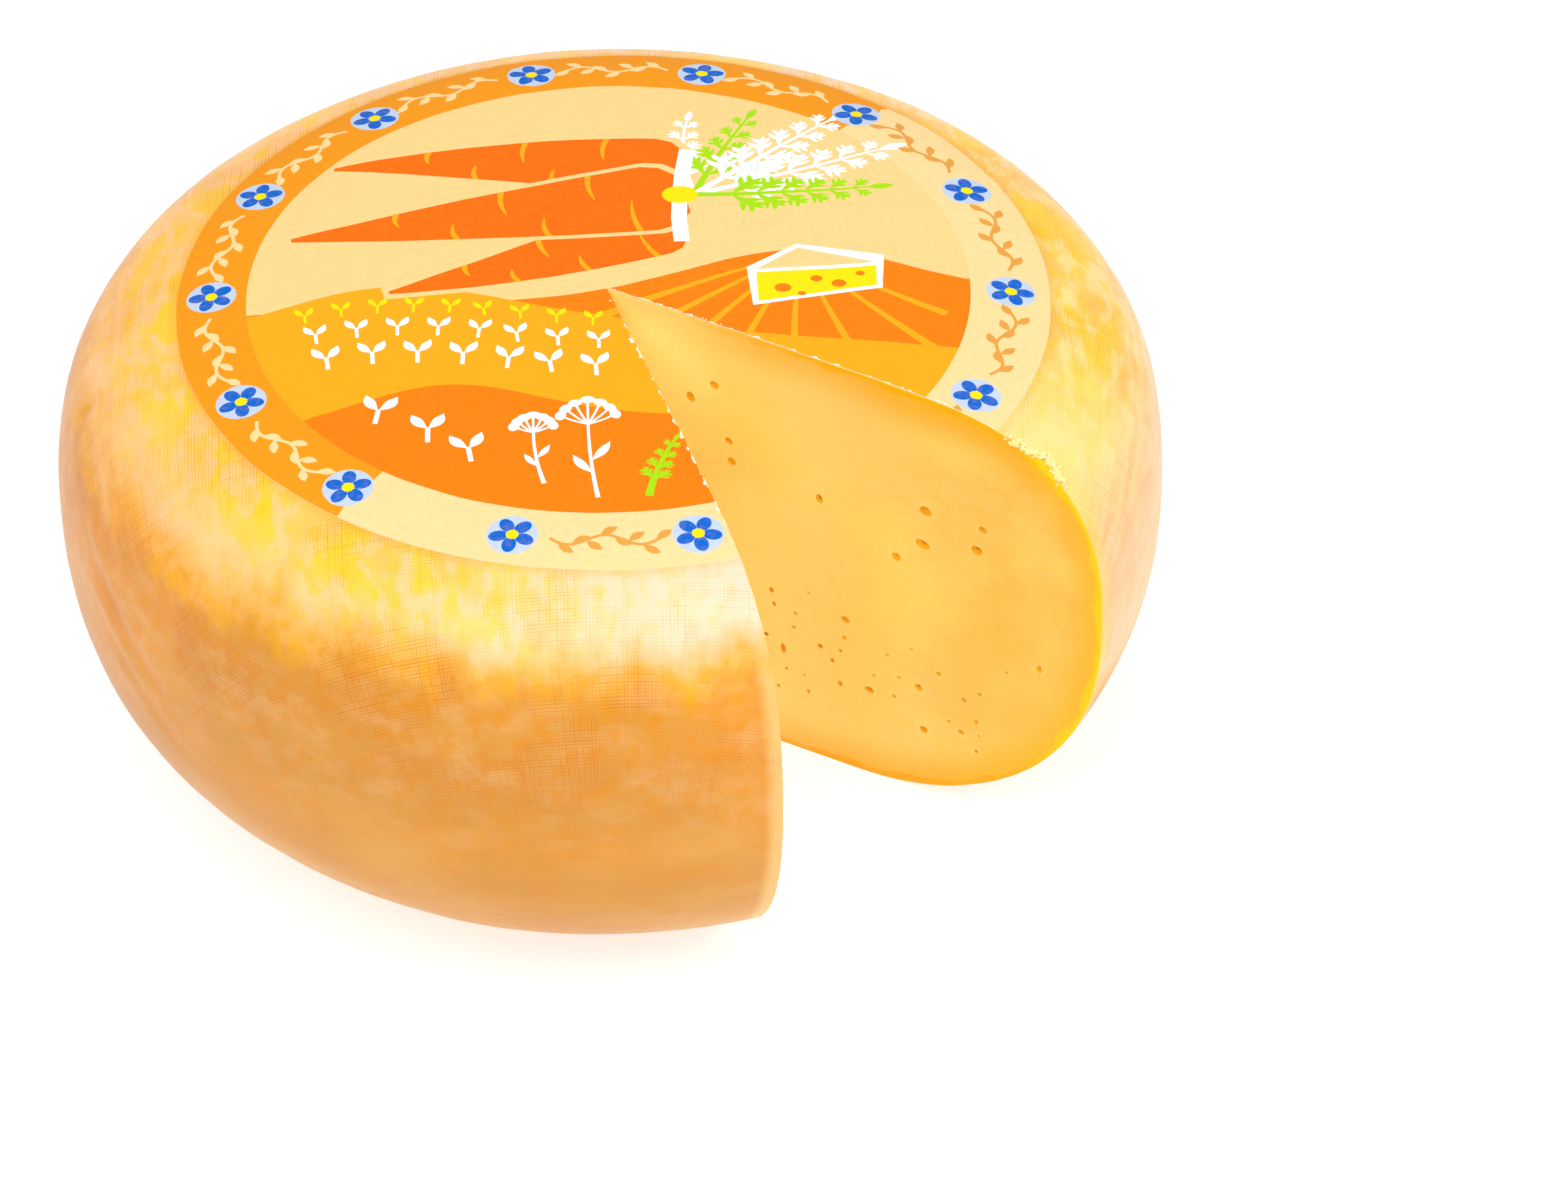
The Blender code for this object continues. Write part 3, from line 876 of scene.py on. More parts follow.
wheel_mesh = make_wheel()
wheel_mesh.materials.append(rind_finish)
wheel_mesh.materials.append(paste_material())
wheel = bpy.data.objects.new("gouda_wheel", wheel_mesh)
bpy.context.scene.collection.objects.link(wheel)
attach(wheel, "root")
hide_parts("cheese")

# The paper label
# A round sheet of printed paper, laid on the wet coating so that it sticks and follows every hollow, then cut
# through with the cheese. Its print is flat colour: a bunch of carrots over fields, in a ring of blossoms.

LABEL_WOBBLE_MM = 0.18
PICTURE_RADIUS_MM = 77.2
PICTURE_CENTRE_MM = (0.35, 1.13)
RING_MIDDLE_MM = 85.3
RING_CENTRE_MM = (0.9, 1.16)
ORANGE_ARC_DEG = (48.0, 232.0)
PAPER_THICKNESS = 0.10 * MM
PAPER_GAP = 0.01 * MM
PAPER_GRID_MM = 2.8
PAPER_GRID_CORNERS_MM = ((-95, -95), (96, 96))
PAPER_GRID_INSET_MM = 1.6
PAPER_APEX_MM = (-0.25, 0.35)
RIM_GAP_DEG = 0.3
RIM_POINTS = 400
RIM_WAVES = 6
CUT_STEP_MM = 0.8
CUT_RAGGED_MM = 0.32
CUT_RAGGED_SEEDS = (3.1, 8.7)
CUT_RAGGED_SHARE = 0.45
# How strongly the cut wavers, how fast, and in which row of the noise.
CUT_RAGGED_WAVES = ((0.6, 0.22, 0), (0.3, 0.6, 5))
CUT_END_MM = 0.3
CUT_ROW_DEPTHS_MM = (0.5, 1.0, 1.7, 2.6)
RIPPLE_SIZE_MM = 9.0
RIPPLE_HEIGHT_MM = 0.10
RIPPLE_REST = 0.3
EDGE_LIFT_MM = 0.02
EDGE_LIFT_WIDTH_MM = 1.6
CUT_LIFT_MM = 0.05
CUT_LIFT_WIDTH_MM = 0.8
# Creases of the paper: two ends, width and height.
CREASES_MM = (
    ((-58.7, -66.6), (-66.4, -57.4), 1.1, 0.30),
    ((-22.0, 90.5), (-16.0, 80.0), 1.2, 0.22),
    ((72.0, 52.0), (86.0, 41.0), 1.3, 0.24),
)
# The dip on one side of a crease: its share of the height, and its distance.
CREASE_DIP_SHARE = 0.4
CREASE_DIP_DISTANCE_MM = 2.4

INKS = {
    "peach": "#EFCB86",
    "middle_orange": "#EC7A00",
    "low_orange": "#ECA412",
    "deep_orange": "#EC6900",
    "ring_orange": "#EA9210",
    "ring_peach": "#EED093",
    "ochre": "#DB9A42",
    "yellow": "#ECDA00",
    "white": "#F0F2F2",
    "blue": "#0060C4",
    "pale_blue": "#BACADF",
    "green": "#9FD60C",
}
CARROT_STEPS = 22
CARROT_HALO_MM = 1.3
# The marks across a carrot: the step along it, the side that each starts from, and its share of the width.
CARROT_MARKS = ((3, 1, 0.5), (5, -1, 0.42), (8, 1, 0.36), (10, -1, 0.5), (13, 1, 0.42), (16, -1, 0.5))
SEEDLING_ROWS = ((-9.5, 4.6, "yellow"), (-17.5, 5.6, "white"), (-27.0, 6.8, "white"))
VINE_STEPS = 24
BLOSSOMS = 14
FIRST_BLOSSOM_DEG = 23.9
BLOSSOM_BACKING_MM = 5.4
FURROW_REACH_MM = 75.0

prints = []


def arc(centre, radius, start_deg, end_deg, steps):
    """Points on a circle from one direction to another."""
    points = []
    for step in range(steps + 1):
        turn = math.radians(start_deg + (end_deg - start_deg) * step / steps)
        points.append((centre[0] + radius * math.cos(turn), centre[1] + radius * math.sin(turn)))
    return points


def bearing_of(point, centre):
    """The direction, in degrees, in which a point lies from a centre."""
    return math.degrees(math.atan2(point[1] - centre[1], point[0] - centre[0]))


def oval(centre, width, height, turn_deg=0.0, corners=22):
    """The outline of an oval, turned by an angle."""
    turn = math.radians(turn_deg)
    points = []
    for x, y in arc((0, 0), 1.0, 0.0, 360.0, corners)[:-1]:
        x, y = x * width / 2, y * height / 2
        points.append((centre[0] + x * math.cos(turn) - y * math.sin(turn),
                       centre[1] + x * math.sin(turn) + y * math.cos(turn)))
    return points


def spine(start, angle_deg, length, bend_deg=0.0, steps=12):
    """A line that sets off in a direction and turns evenly by the bend."""
    points = [tuple(start)]
    for step in range(steps):
        turn = math.radians(angle_deg + bend_deg * (step + 0.5) / steps)
        x, y = points[-1]
        points.append((x + length / steps * math.cos(turn), y + length / steps * math.sin(turn)))
    return points


def band(line, widths):
    """The outline of a strip along a line, with its width at each point."""
    left, right = [], []
    for place, (x, y) in enumerate(line):
        before, after = line[max(place - 1, 0)], line[min(place + 1, len(line) - 1)]
        run = np.subtract(after, before)
        side = np.array((-run[1], run[0])) / np.linalg.norm(run) * widths[place] / 2
        left.append((x + side[0], y + side[1]))
        right.append((x - side[0], y - side[1]))
    return left + right[::-1]


def leaf(start, angle_deg, length, width, bend_deg=0.0, steps=8):
    """A leaf or petal that is widest just past its middle and pointed at its tip."""
    line = spine(start, angle_deg, length, bend_deg, steps)
    shares = [place / steps for place in range(steps + 1)]
    return band(line, [width * max(math.sin(math.pi * share ** 1.15), 0.06) for share in shares])


def print_carrot(crown, angle_deg, length, width, bend_deg):
    """A carrot with a pale halo, and short pale marks across it."""
    line = spine(crown, angle_deg, length, bend_deg, CARROT_STEPS)
    shares = [place / CARROT_STEPS for place in range(CARROT_STEPS + 1)]
    shoulders = [0.55 + 0.45 * min(share / 0.08, 1) ** 0.5 for share in shares]
    widths = [width * shoulder * (1 - share ** 1.5 * 0.95) for share, shoulder in zip(shares, shoulders)]
    behind = np.subtract(crown, CARROT_HALO_MM * np.array(direction(angle_deg).xy))
    halo = spine(behind, angle_deg, length + 2 * CARROT_HALO_MM, bend_deg, CARROT_STEPS)
    prints.append(("peach", band(halo, [size + 2.8 for size in widths])))
    prints.append(("deep_orange", band(line, widths)))
    for place, side, share in CARROT_MARKS:
        run = np.subtract(line[place + 1], line[place])
        across = np.array((-run[1], run[0])) / np.linalg.norm(run) * side
        start = np.add(line[place], across * widths[place] / 2)
        inner = start - across * widths[place] * share
        mark = [tuple(start + (inner - start) * step / 5 + run * 0.16 * math.sin(step / 5 * math.pi))
                for step in range(6)]
        prints.append(("low_orange", band(mark, [1.3, 1.2, 1.1, 0.9, 0.7, 0.2])))


def print_frond(ink, start, angle_deg, length, bend_deg, pairs):
    """A feathery carrot leaf: a stalk with pairs of leaflets, each with two smaller ones at its foot."""
    steps = pairs * 2 + 3
    stalk = spine(start, angle_deg, length, bend_deg, steps)
    prints.append((ink, band(stalk, [1.7 - 1.2 * place / steps for place in range(steps + 1)])))
    for pair in range(pairs):
        place = 3 + pair * 2
        heading = angle_deg + bend_deg * place / steps
        reach = length * (0.23 - 0.13 * pair / pairs)
        for side in (1, -1):
            out = heading + side * 47
            prints.append((ink, leaf(stalk[place], out, reach, reach * 0.24, -side * 16)))
            for share, size in ((0.34, 0.50), (0.62, 0.36)):
                foot = np.add(stalk[place], reach * share * np.array(direction(out - side * 5).xy))
                prints.append((ink, leaf(foot, out + 42, reach * size, reach * 0.15, 0, 5)))
                prints.append((ink, leaf(foot, out - 42, reach * size, reach * 0.15, 0, 5)))
    prints.append((ink, leaf(stalk[-2], angle_deg + bend_deg, length * 0.16, length * 0.055)))


def print_sprout(ink, foot, size, lean_deg):
    """A seedling: a short stalk and two leaves."""
    stalk = spine(foot, 90 + lean_deg, size * 0.55, 0, 4)
    prints.append((ink, band(stalk, [size * 0.13] * 5)))
    for side in (1, -1):
        prints.append((ink, leaf(stalk[-1], 90 + lean_deg + side * 52, size * 0.72, size * 0.30, -side * 34)))


def print_umbel(foot, height, lean_deg, ink):
    """A wild carrot's flower: a stalk, a fan of short rays, and a round head on each."""
    stalk = spine(foot, 90 + lean_deg, height, -lean_deg, 6)
    prints.append((ink, band(stalk, [1.0, 0.9, 0.8, 0.7, 0.7, 0.6, 0.6])))
    for spread in (-72, -48, -24, 0, 24, 48, 72):
        reach = height * 0.34 * (1 - abs(spread) / 360)
        ray = spine(stalk[-1], 90 + spread, reach, -spread * 0.3, 4)
        prints.append((ink, band(ray, [0.5] * 5)))
        prints.append((ink, oval(ray[-1], 3.1, 2.3, spread)))
    for share, side in ((0.35, 1), (0.55, -1)):
        at = stalk[int(share * 6)]
        prints.append((ink, leaf(at, 90 + side * 44, height * 0.30, height * 0.085, -side * 20)))


def rolling(base, rise, middle, spread, ink, slope=0.0):
    """A field under a hilltop, down to the picture's edge."""
    crest = [(x, base + slope * max(x, 0.0) + rise * math.exp(-((x - middle) / spread) ** 2))
             for x in np.linspace(-80, 80, 90)]
    crest = [point for point in crest if math.dist(point, PICTURE_CENTRE_MM) < PICTURE_RADIUS_MM - 0.4]
    start, end = (bearing_of(crest[place], PICTURE_CENTRE_MM) for place in (-1, 0))
    edge = arc(PICTURE_CENTRE_MM, PICTURE_RADIUS_MM, start, end - 360 if end > start else end, 120)
    prints.append((ink, crest + edge))


# The fields, with furrows that fan out towards the eye.
rolling(-4.0, 17.0, 42.0, 34.0, "middle_orange")
for turn in (-158, -146, -132, -116, -98, -78, -56, -40):
    furrow = spine((42.0, 11.5), turn, 64.0, 12.0, 24)
    furrow = [point for point in furrow if math.dist(point, PICTURE_CENTRE_MM) < FURROW_REACH_MM]
    prints.append(("low_orange", band(furrow, [0.3 + 0.11 * place for place in range(len(furrow))])))
rolling(-13.0, 16.0, -46.0, 36.0, "low_orange", -0.13)
rolling(-45.0, 13.0, -34.0, 27.0, "middle_orange")

# The seedlings, in rows that grow towards the eye.
for row, (level, size, ink) in enumerate(SEEDLING_ROWS):
    for place in range(9):
        x = -64 + place * (7.6 + row * 0.9) + row * 2.5
        rise = 9.5 * math.exp(-((x + 46) / 36) ** 2)
        if math.hypot(x, level + rise - 6) < 72 and x < -2 + row * 4:
            print_sprout(ink, (x, level + rise - 6), size, 6 - 3 * (place % 5))
for x, y in ((-38, -51), (-49, -44), (-29, -58)):
    print_sprout("white", (x, y), 8.2, (x + 38) * 0.8)
print_umbel((-3.0, -71.0), 24.0, 8.0, "white")
print_umbel((-14.0, -66.0), 17.0, 14.0, "white")
print_frond("green", (7.5, -71.0), 82.0, 20.0, -20.0, 4)

# The bunch of carrots, tied at the crowns.
for ink, angle_deg, length, bend_deg, pairs in (
        ("white", 104.0, 31.0, -26.0, 5), ("green", 71.0, 34.0, -8.0, 5), ("white", 45.0, 44.0, -4.0, 6),
        ("white", 20.0, 47.0, 5.0, 6), ("green", -1.0, 40.0, 9.0, 6)):
    print_frond(ink, (19.5, 34.0), angle_deg, length, bend_deg, pairs)
print_carrot((17.0, 44.5), 171.0, 76.0, 22.0, 12.0)
print_carrot((15.5, 23.5), 206.0, 66.0, 20.0, -12.0)
print_carrot((17.5, 34.0), 189.0, 86.0, 25.0, -2.0)
ribbon = [(18.4, 51.5), (17.2, 43.0), (16.4, 34.0), (16.0, 25.0), (16.4, 16.5)]
prints.append(("white", band(ribbon, [3.4] * len(ribbon))))
prints.append(("yellow", oval((16.4, 34.0), 7.8, 6.6)))

# A wedge of cheese.
prints.append(("white", [(31, -7.0), (58.8, -1.0), (59.6, 10.8), (41.0, 15.2), (30.0, 6.6)]))
prints.append(("yellow", [(32.2, -5.6), (57.6, 0.0), (57.8, 6.9), (32.0, 4.6)]))
prints.append(("peach", [(32.0, 5.8), (57.8, 8.1), (41.2, 13.8)]))
for x, y, size in (
        (37.5, -1.0, 3.6), (44.8, 2.4, 2.6), (49.5, 0.6, 3.2), (54.2, 4.2, 2.0), (41.5, -3.0, 1.8)):
    prints.append(("middle_orange", oval((x, y), size, size * 0.85)))

# The blossoms of the ring, and the garland between them.
for place in range(BLOSSOMS):
    bearing = FIRST_BLOSSOM_DEG + place * 360 / BLOSSOMS
    middle = arc(RING_CENTRE_MM, RING_MIDDLE_MM, bearing, bearing, 1)[0]
    in_orange = (bearing - ORANGE_ARC_DEG[0]) % 360 < ORANGE_ARC_DEG[1] - ORANGE_ARC_DEG[0]
    garland_ink = "ring_peach" if in_orange else "ochre"
    prints.append(("pale_blue", oval(middle, BLOSSOM_BACKING_MM * 2, BLOSSOM_BACKING_MM * 2)))
    for petal in range(5):
        turn = bearing + 72 * petal
        start = np.add(middle, 0.7 * np.array(direction(turn).xy))
        prints.append(("blue", oval(np.add(start, 2.2 * np.array(direction(turn).xy)), 4.1, 3.0, turn, 14)))
    prints.append(("yellow", oval(middle, 2.7, 2.7, 0, 12)))
    shares = [step / VINE_STEPS for step in range(VINE_STEPS + 1)]
    bearings = [bearing + 5.2 + 15.3 * share for share in shares]
    radii = [RING_MIDDLE_MM + 1.5 * math.sin(math.tau * share * 1.5) for share in shares]
    vine = [arc(RING_CENTRE_MM, radius, turn, turn, 1)[0] for radius, turn in zip(radii, bearings)]
    prints.append((garland_ink, band(vine, [0.75] * len(vine))))
    for step in range(2, VINE_STEPS, 3):
        side = 1 if step % 2 else -1
        heading = bearings[step] + 90 + side * 48
        prints.append((garland_ink, leaf(vine[step], heading, 4.3, 2.0, -side * 25, 6)))


def away_from_cut(cut_deg, into_cheese):
    """The level direction that leads from a cut straight into the cheese."""
    return np.array(direction(cut_deg + 90 * into_cheese).xy)


def surface_of(mesh):
    """A mesh's faces, to find which of them lies under a point."""
    return BVHTree.FromPolygons([v.co for v in mesh.vertices], [p.vertices for p in mesh.polygons])


def straight_down(surface, x, y):
    """Where a line straight down meets a surface, if it does."""
    return surface.ray_cast(Vector((x, y, WHEEL_HEIGHT * 2)), Vector((0, 0, -1)))[0]


def label_outline():
    """The paper's edge: the ragged cut out from the apex, the round rim, and the other cut back again."""
    sides = []
    for cut, seed in zip(CUTS, CUT_RAGGED_SEEDS):
        reach = np.array(direction(cut[0]).xy)
        away = away_from_cut(*cut)
        along = reach @ LABEL_CENTRE_MM
        end = along + math.sqrt(along ** 2 - np.dot(LABEL_CENTRE_MM, LABEL_CENTRE_MM) + LABEL_RADIUS_MM ** 2)
        side = []
        for distance in np.arange(CUT_STEP_MM * 2, end - CUT_END_MM, CUT_STEP_MM):
            ragged = CUT_RAGGED_SHARE
            for share, pitch, row in CUT_RAGGED_WAVES:
                ragged += share * noise.noise(Vector((distance * pitch, seed, row)))
            side.append(tuple(reach * distance + away * CUT_RAGGED_MM * min(max(ragged, 0.05), 1.0)))
        sides.append(side)
    far_side, near_side = sides
    start = bearing_of(far_side[-1], LABEL_CENTRE_MM) + RIM_GAP_DEG
    end = bearing_of(near_side[-1], LABEL_CENTRE_MM) + (360 - RIM_GAP_DEG)
    rim = []
    for turn in np.linspace(start, end, RIM_POINTS):
        angle = math.radians(turn)
        wobble = noise.noise(Vector((math.cos(angle) * RIM_WAVES, math.sin(angle) * RIM_WAVES, 2.0)))
        rim.append(arc(LABEL_CENTRE_MM, LABEL_RADIUS_MM + LABEL_WOBBLE_MM * (wobble - 1), turn, turn, 1)[0])
    return [PAPER_APEX_MM] + far_side + rim + near_side[::-1], sides


def label_relief(flat, cut_depths):
    """How far, in mm, each point of the paper stands off the cheese."""
    rim_depths = LABEL_RADIUS_MM - np.hypot(flat[:, 0] - LABEL_CENTRE_MM[0], flat[:, 1] - LABEL_CENTRE_MM[1])
    lift = EDGE_LIFT_MM * np.exp(-np.maximum(rim_depths, 0) / EDGE_LIFT_WIDTH_MM)
    waves = [noise.noise(Vector((x / RIPPLE_SIZE_MM, y / RIPPLE_SIZE_MM, 1.5))) for x, y in flat]
    lift += RIPPLE_HEIGHT_MM * (np.array(waves) + RIPPLE_REST)
    for start, end, width, height in CREASES_MM:
        distance = distance_to_line(flat, [start, end])
        dip = height * CREASE_DIP_SHARE * np.exp(-((distance - CREASE_DIP_DISTANCE_MM) / width) ** 2)
        lift += height * np.exp(-(distance / width) ** 2) - dip
    return np.maximum(lift, 0) + CUT_LIFT_MM * np.exp(-cut_depths / CUT_LIFT_WIDTH_MM)


def make_label():
    """Cuts the print's shapes into one flat sheet, drapes it over the rind and gives it its thickness."""
    outline, sides = label_outline()
    points = list(outline)
    edges = ring_of(outline, 0)
    circle = arc(PICTURE_CENTRE_MM, PICTURE_RADIUS_MM, 0, 360, 300)[:-1]
    for shape in [circle] + [polygon for _, polygon in prints]:
        edges += ring_of(shape, len(points))
        points += [tuple(point) for point in shape]
    for bearing in ORANGE_ARC_DEG:
        edges.append((len(points), len(points) + 1))
        points += [arc(PICTURE_CENTRE_MM, PICTURE_RADIUS_MM, bearing, bearing, 1)[0],
                   arc(LABEL_CENTRE_MM, LABEL_RADIUS_MM, bearing, bearing, 1)[0]]
    for side, cut in zip(sides, CUTS):
        away = away_from_cut(*cut)
        for depth in CUT_ROW_DEPTHS_MM:
            points += [tuple(np.add(point, away * depth)) for point in side[2::2]]
    grid = grid_points(*PAPER_GRID_CORNERS_MM, PAPER_GRID_MM)
    clear = inside(outline, grid) & (distance_to_line(grid, outline + outline[:1]) > PAPER_GRID_INSET_MM)
    points += [tuple(point) for point in grid[clear]]

    found = geometry.delaunay_2d_cdt([Vector(point) for point in points], edges, [], 0, 1e-5)
    flat = np.array([tuple(point) for point in found[0]])
    triangles = np.array(found[2])
    middles = flat[triangles].mean(1)
    kept = inside(outline, middles)
    triangles, middles = triangles[kept], middles[kept]

    inks = {name: np.array(colour(code)) for name, code in INKS.items()}
    ink = np.tile(inks["peach"], (len(triangles), 1))
    for name, polygon in prints:
        low, high = np.min(polygon, 0), np.max(polygon, 0)
        near = np.flatnonzero(((middles >= low) & (middles <= high)).all(1))
        ink[near[inside(polygon, middles[near])]] = inks[name]
    from_middle = middles - PICTURE_CENTRE_MM
    in_ring = np.hypot(from_middle[:, 0], from_middle[:, 1]) > PICTURE_RADIUS_MM
    bearings = np.degrees(np.arctan2(from_middle[:, 1], from_middle[:, 0]))
    in_arc = (bearings - ORANGE_ARC_DEG[0]) % 360 < ORANGE_ARC_DEG[1] - ORANGE_ARC_DEG[0]
    plain = (ink == inks["peach"]).all(1)
    ink[in_ring & plain & in_arc] = inks["ring_orange"]
    ink[in_ring & plain & ~in_arc] = inks["ring_peach"]

    used = np.unique(triangles)
    place_of = np.full(len(flat), -1)
    place_of[used] = np.arange(len(used))
    flat, triangles = flat[used], place_of[triangles]
    cut_depths = np.minimum(*(distance_to_line(flat, side) for side in sides))
    lifts = label_relief(flat, cut_depths)
    cheese = surface_of(rind_mesh)
    under, over = [], []
    for (x, y), lift in zip(flat * MM, lifts * MM):
        hit = straight_down(cheese, x, y) or cheese.find_nearest(Vector((x, y, WHEEL_HEIGHT)))[0]
        under.append(Vector((x, y, hit.z + PAPER_GAP)))
        over.append(under[-1] + Vector((0, 0, PAPER_THICKNESS + lift)))

    count = len(flat)
    sides = np.sort(np.concatenate((triangles[:, :2], triangles[:, 1:], triangles[:, ::2])), 1)
    _, first, shared = np.unique(sides, axis=0, return_index=True, return_counts=True)
    turned = np.concatenate((triangles[:, :2], triangles[:, 1:], triangles[:, [2, 0]]))
    rim = turned[first[shared == 1]]
    faces = [tuple(t) for t in triangles + count] + [tuple(t) for t in triangles[:, ::-1]]
    faces += [(a, b, b + count, a + count) for a, b in rim]
    mesh = bpy.data.meshes.new("paper_label")
    mesh.from_pydata(under + over, [], faces)
    white = np.array(inks["white"])
    corners = np.concatenate((np.repeat(ink, 3, 0), np.tile(white, (len(triangles) * 3 + len(rim) * 4, 1))))
    mesh.attributes.new("ink", "FLOAT_COLOR", "CORNER").data.foreach_set("color", corners.ravel())
    depths = np.concatenate((cut_depths, cut_depths))
    mesh.attributes.new("from_cut_mm", "FLOAT", "POINT").data.foreach_set("value", depths)
    mesh.update()
    sharp = {tuple(sorted(pair)) for pair in np.concatenate((rim, rim + count)).tolist()}
    for edge in mesh.edges:
        edge.use_edge_sharp = tuple(sorted(edge.vertices)) in sharp
    mesh.polygons.foreach_set("use_smooth", [True] * len(triangles) * 2 + [False] * len(rim))
    mesh.polygons.foreach_set("material_index", [0] * len(triangles) * 2 + [1] * len(rim))
    return mesh


def printed_paper_material():
    """Uncoated paper printed in flat inks, under a fine film of the cheese's clear coating: even, with a low
    sheen.

    The ink is a little worn along the paper's fibres, and torn to bare pulp in places along the cut.
    """
    material, tree = new_material("printed_paper", {"Roughness": 0.55, "Specular IOR Level": 0.12})
    place, _ = place_in_mm(tree)
    ink = add(tree, "ShaderNodeAttribute", attribute_name="ink").outputs["Color"]
    from_cut = add(tree, "ShaderNodeAttribute", attribute_name="from_cut_mm").outputs["Fac"]
    fibre = add(tree, "ShaderNodeTexNoise", {"Vector": place, "Scale": 1 / 1.3, "Detail": 5.0})
    worn = {"Value": fibre, "From Min": 0.46, "From Max": 0.72, "To Max": 0.12}
    worn = add(tree, "ShaderNodeMapRange", worn)
    ragged = add(tree, "ShaderNodeTexNoise", {"Vector": place, "Scale": 1 / 2.2, "Detail": 3.0})
    ragged = add(tree, "ShaderNodeMath", {0: ragged, 1: -3.6, 2: 1.75}, operation="MULTIPLY_ADD")
    torn = add(tree, "ShaderNodeMath", {0: from_cut, 1: ragged}, operation="LESS_THAN")
    surface = paint(tree, ink, (("#E8963A", worn), ("#F6EAD2", torn)))
    wrinkle = add(tree, "ShaderNodeTexNoise", {"Vector": place, "Scale": 1 / 5.5, "Detail": 3.0})
    dress(tree, surface, emboss(tree, (wrinkle, 0.35, 0.35), (fibre, 0.3, 0.05)))
    return material


def paper_core_material():
    """The bare pulp along a torn or cut edge: off-white and quite matt."""
    return new_material("paper_core", {"Base Color": colour("#F8EBCB"), "Roughness": 0.85})[0]


label_mesh = make_label()
label_mesh.materials.append(printed_paper_material())
label_mesh.materials.append(paper_core_material())
label = bpy.data.objects.new("paper_label", label_mesh)
bpy.context.scene.collection.objects.link(label)
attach(label, "root")
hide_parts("label")

# The crumbs
# Where the knife broke the dry rind, pale grains cling to the edge in one crust, and where it tore the paper,
# white fibres stand along the label's cut. Geometry Nodes scatter both along those edges, with a fixed seed.

CRUMB_SPACING = 0.03 * MM
CRUMB_SIZES = (0.12 * MM, 0.50 * MM)
CRUMB_SHAPES = ((0.7, 0.45, 0.6), (1.3, 1.0, 0.96))
CRUMB_SPREAD = 1.0 * MM
CRUMB_RUGGEDNESS = 0.5 * MM
CRUMB_MELT = 0.11 * MM
FIBRE_SPACING = 0.9 * MM
FIBRE_SIZES = (0.05 * MM, 0.20 * MM)
FIBRE_SHAPES = ((0.7, 0.45, 0.25), (1.3, 1.0, 0.4))
FIBRE_SPREAD = 0.22 * MM
FIBRE_MELT = 0.06 * MM
FIBRE_INSET_MM = 0.25
CRUMB_SEED = 4
FIBRE_SEED = 20
GRAIN_DENT_SIZE = 0.5 * MM


def crust(tree, given):
    """Sets small grains along a line, each moved, turned and sized at random, and melts them together."""
    def draw(low, high, seed, kind="FLOAT_VECTOR"):
        drawn = {"Min": low, "Max": high, "Seed": seed}
        return add(tree, "FunctionNodeRandomValue", drawn, data_type=kind)

    seed = given["Seed"]
    line = add(tree, "GeometryNodeMeshToCurve", {"Mesh": given["Mesh"]})
    line = add(tree, "GeometryNodeResampleCurve", {"Curve": line, "Length": given["Spacing"]}, mode="LENGTH")
    spots = add(tree, "GeometryNodeCurveToPoints", {"Curve": line}, mode="EVALUATED").outputs["Points"]
    move = {"Vector": draw((-1.0, -1.0, -0.7), (1.0, 1.0, 0.2), seed), "Scale": given["Spread"]}
    move = add(tree, "ShaderNodeVectorMath", move, operation="SCALE")
    spots = add(tree, "GeometryNodeSetPosition", {"Geometry": spots, "Offset": move})
    other_seed = add(tree, "ShaderNodeMath", {0: seed, 1: 7.0}, operation="ADD")
    size = {"Vector": draw(given["Least Shape"], given["Most Shape"], seed),
            "Scale": draw(given["Smallest"], given["Largest"], other_seed, "FLOAT")}
    size = add(tree, "ShaderNodeVectorMath", size, operation="SCALE")
    grain = add(tree, "GeometryNodeMeshIcoSphere", {"Radius": 1.0, "Subdivisions": 2}).outputs["Mesh"]
    grains = {"Points": spots, "Instance": grain, "Scale": size}
    grains["Rotation"] = draw((-0.5, -0.5, 0.0), (0.5, 0.5, math.tau), seed)
    grains = add(tree, "GeometryNodeInstanceOnPoints", grains)
    grains = add(tree, "GeometryNodeRealizeInstances", {"Geometry": grains})
    rugged = add(tree, "ShaderNodeTexNoise", {"Scale": 1 / GRAIN_DENT_SIZE, "Detail": 2.0}).outputs["Color"]
    rugged = add(tree, "ShaderNodeVectorMath", {0: rugged, 1: (0.5, 0.5, 0.5)}, operation="SUBTRACT")
    rugged = {"Vector": rugged, "Scale": given["Ruggedness"]}
    rugged = add(tree, "ShaderNodeVectorMath", rugged, operation="SCALE")
    grains = add(tree, "GeometryNodeSetPosition", {"Geometry": grains, "Offset": rugged})
    volume = {"Mesh": grains, "Voxel Size": given["Melt"], "Interior Band Width": 0.3 * MM}
    volume = add(tree, "GeometryNodeMeshToVolume", volume, resolution_mode="VOXEL_SIZE")
    return add(tree, "GeometryNodeVolumeToMesh", {"Volume": volume, "Threshold": 0.1})


def crumb_material():
    """Dry, crumbly rind: pale, matt, and it lets a little light through."""
    return new_material("crumbled_rind", {
        "Base Color": colour("#FFE096"),
        "Roughness": 0.7,
        "Subsurface Weight": 0.6,
        "Subsurface Radius": (1.0, 0.9, 0.7),
        "Subsurface Scale": 1.5 * MM,
    })[0]


def torn_edge_line():
    """The broken stretch of the far edge, as points."""
    shape = bmesh.new()
    shape.from_mesh(rind_mesh)
    edge = open_edge(shape, FAR_CUT_DEG)
    fray_edge(edge, 1, crumbled)
    low, high = TORN_HEIGHTS_MM
    places = [corner.co for corner in edge]
    points = [tuple(place) for place in places if low < place.z / MM < high and place.xy.length > 0.05]
    shape.free()
    return points


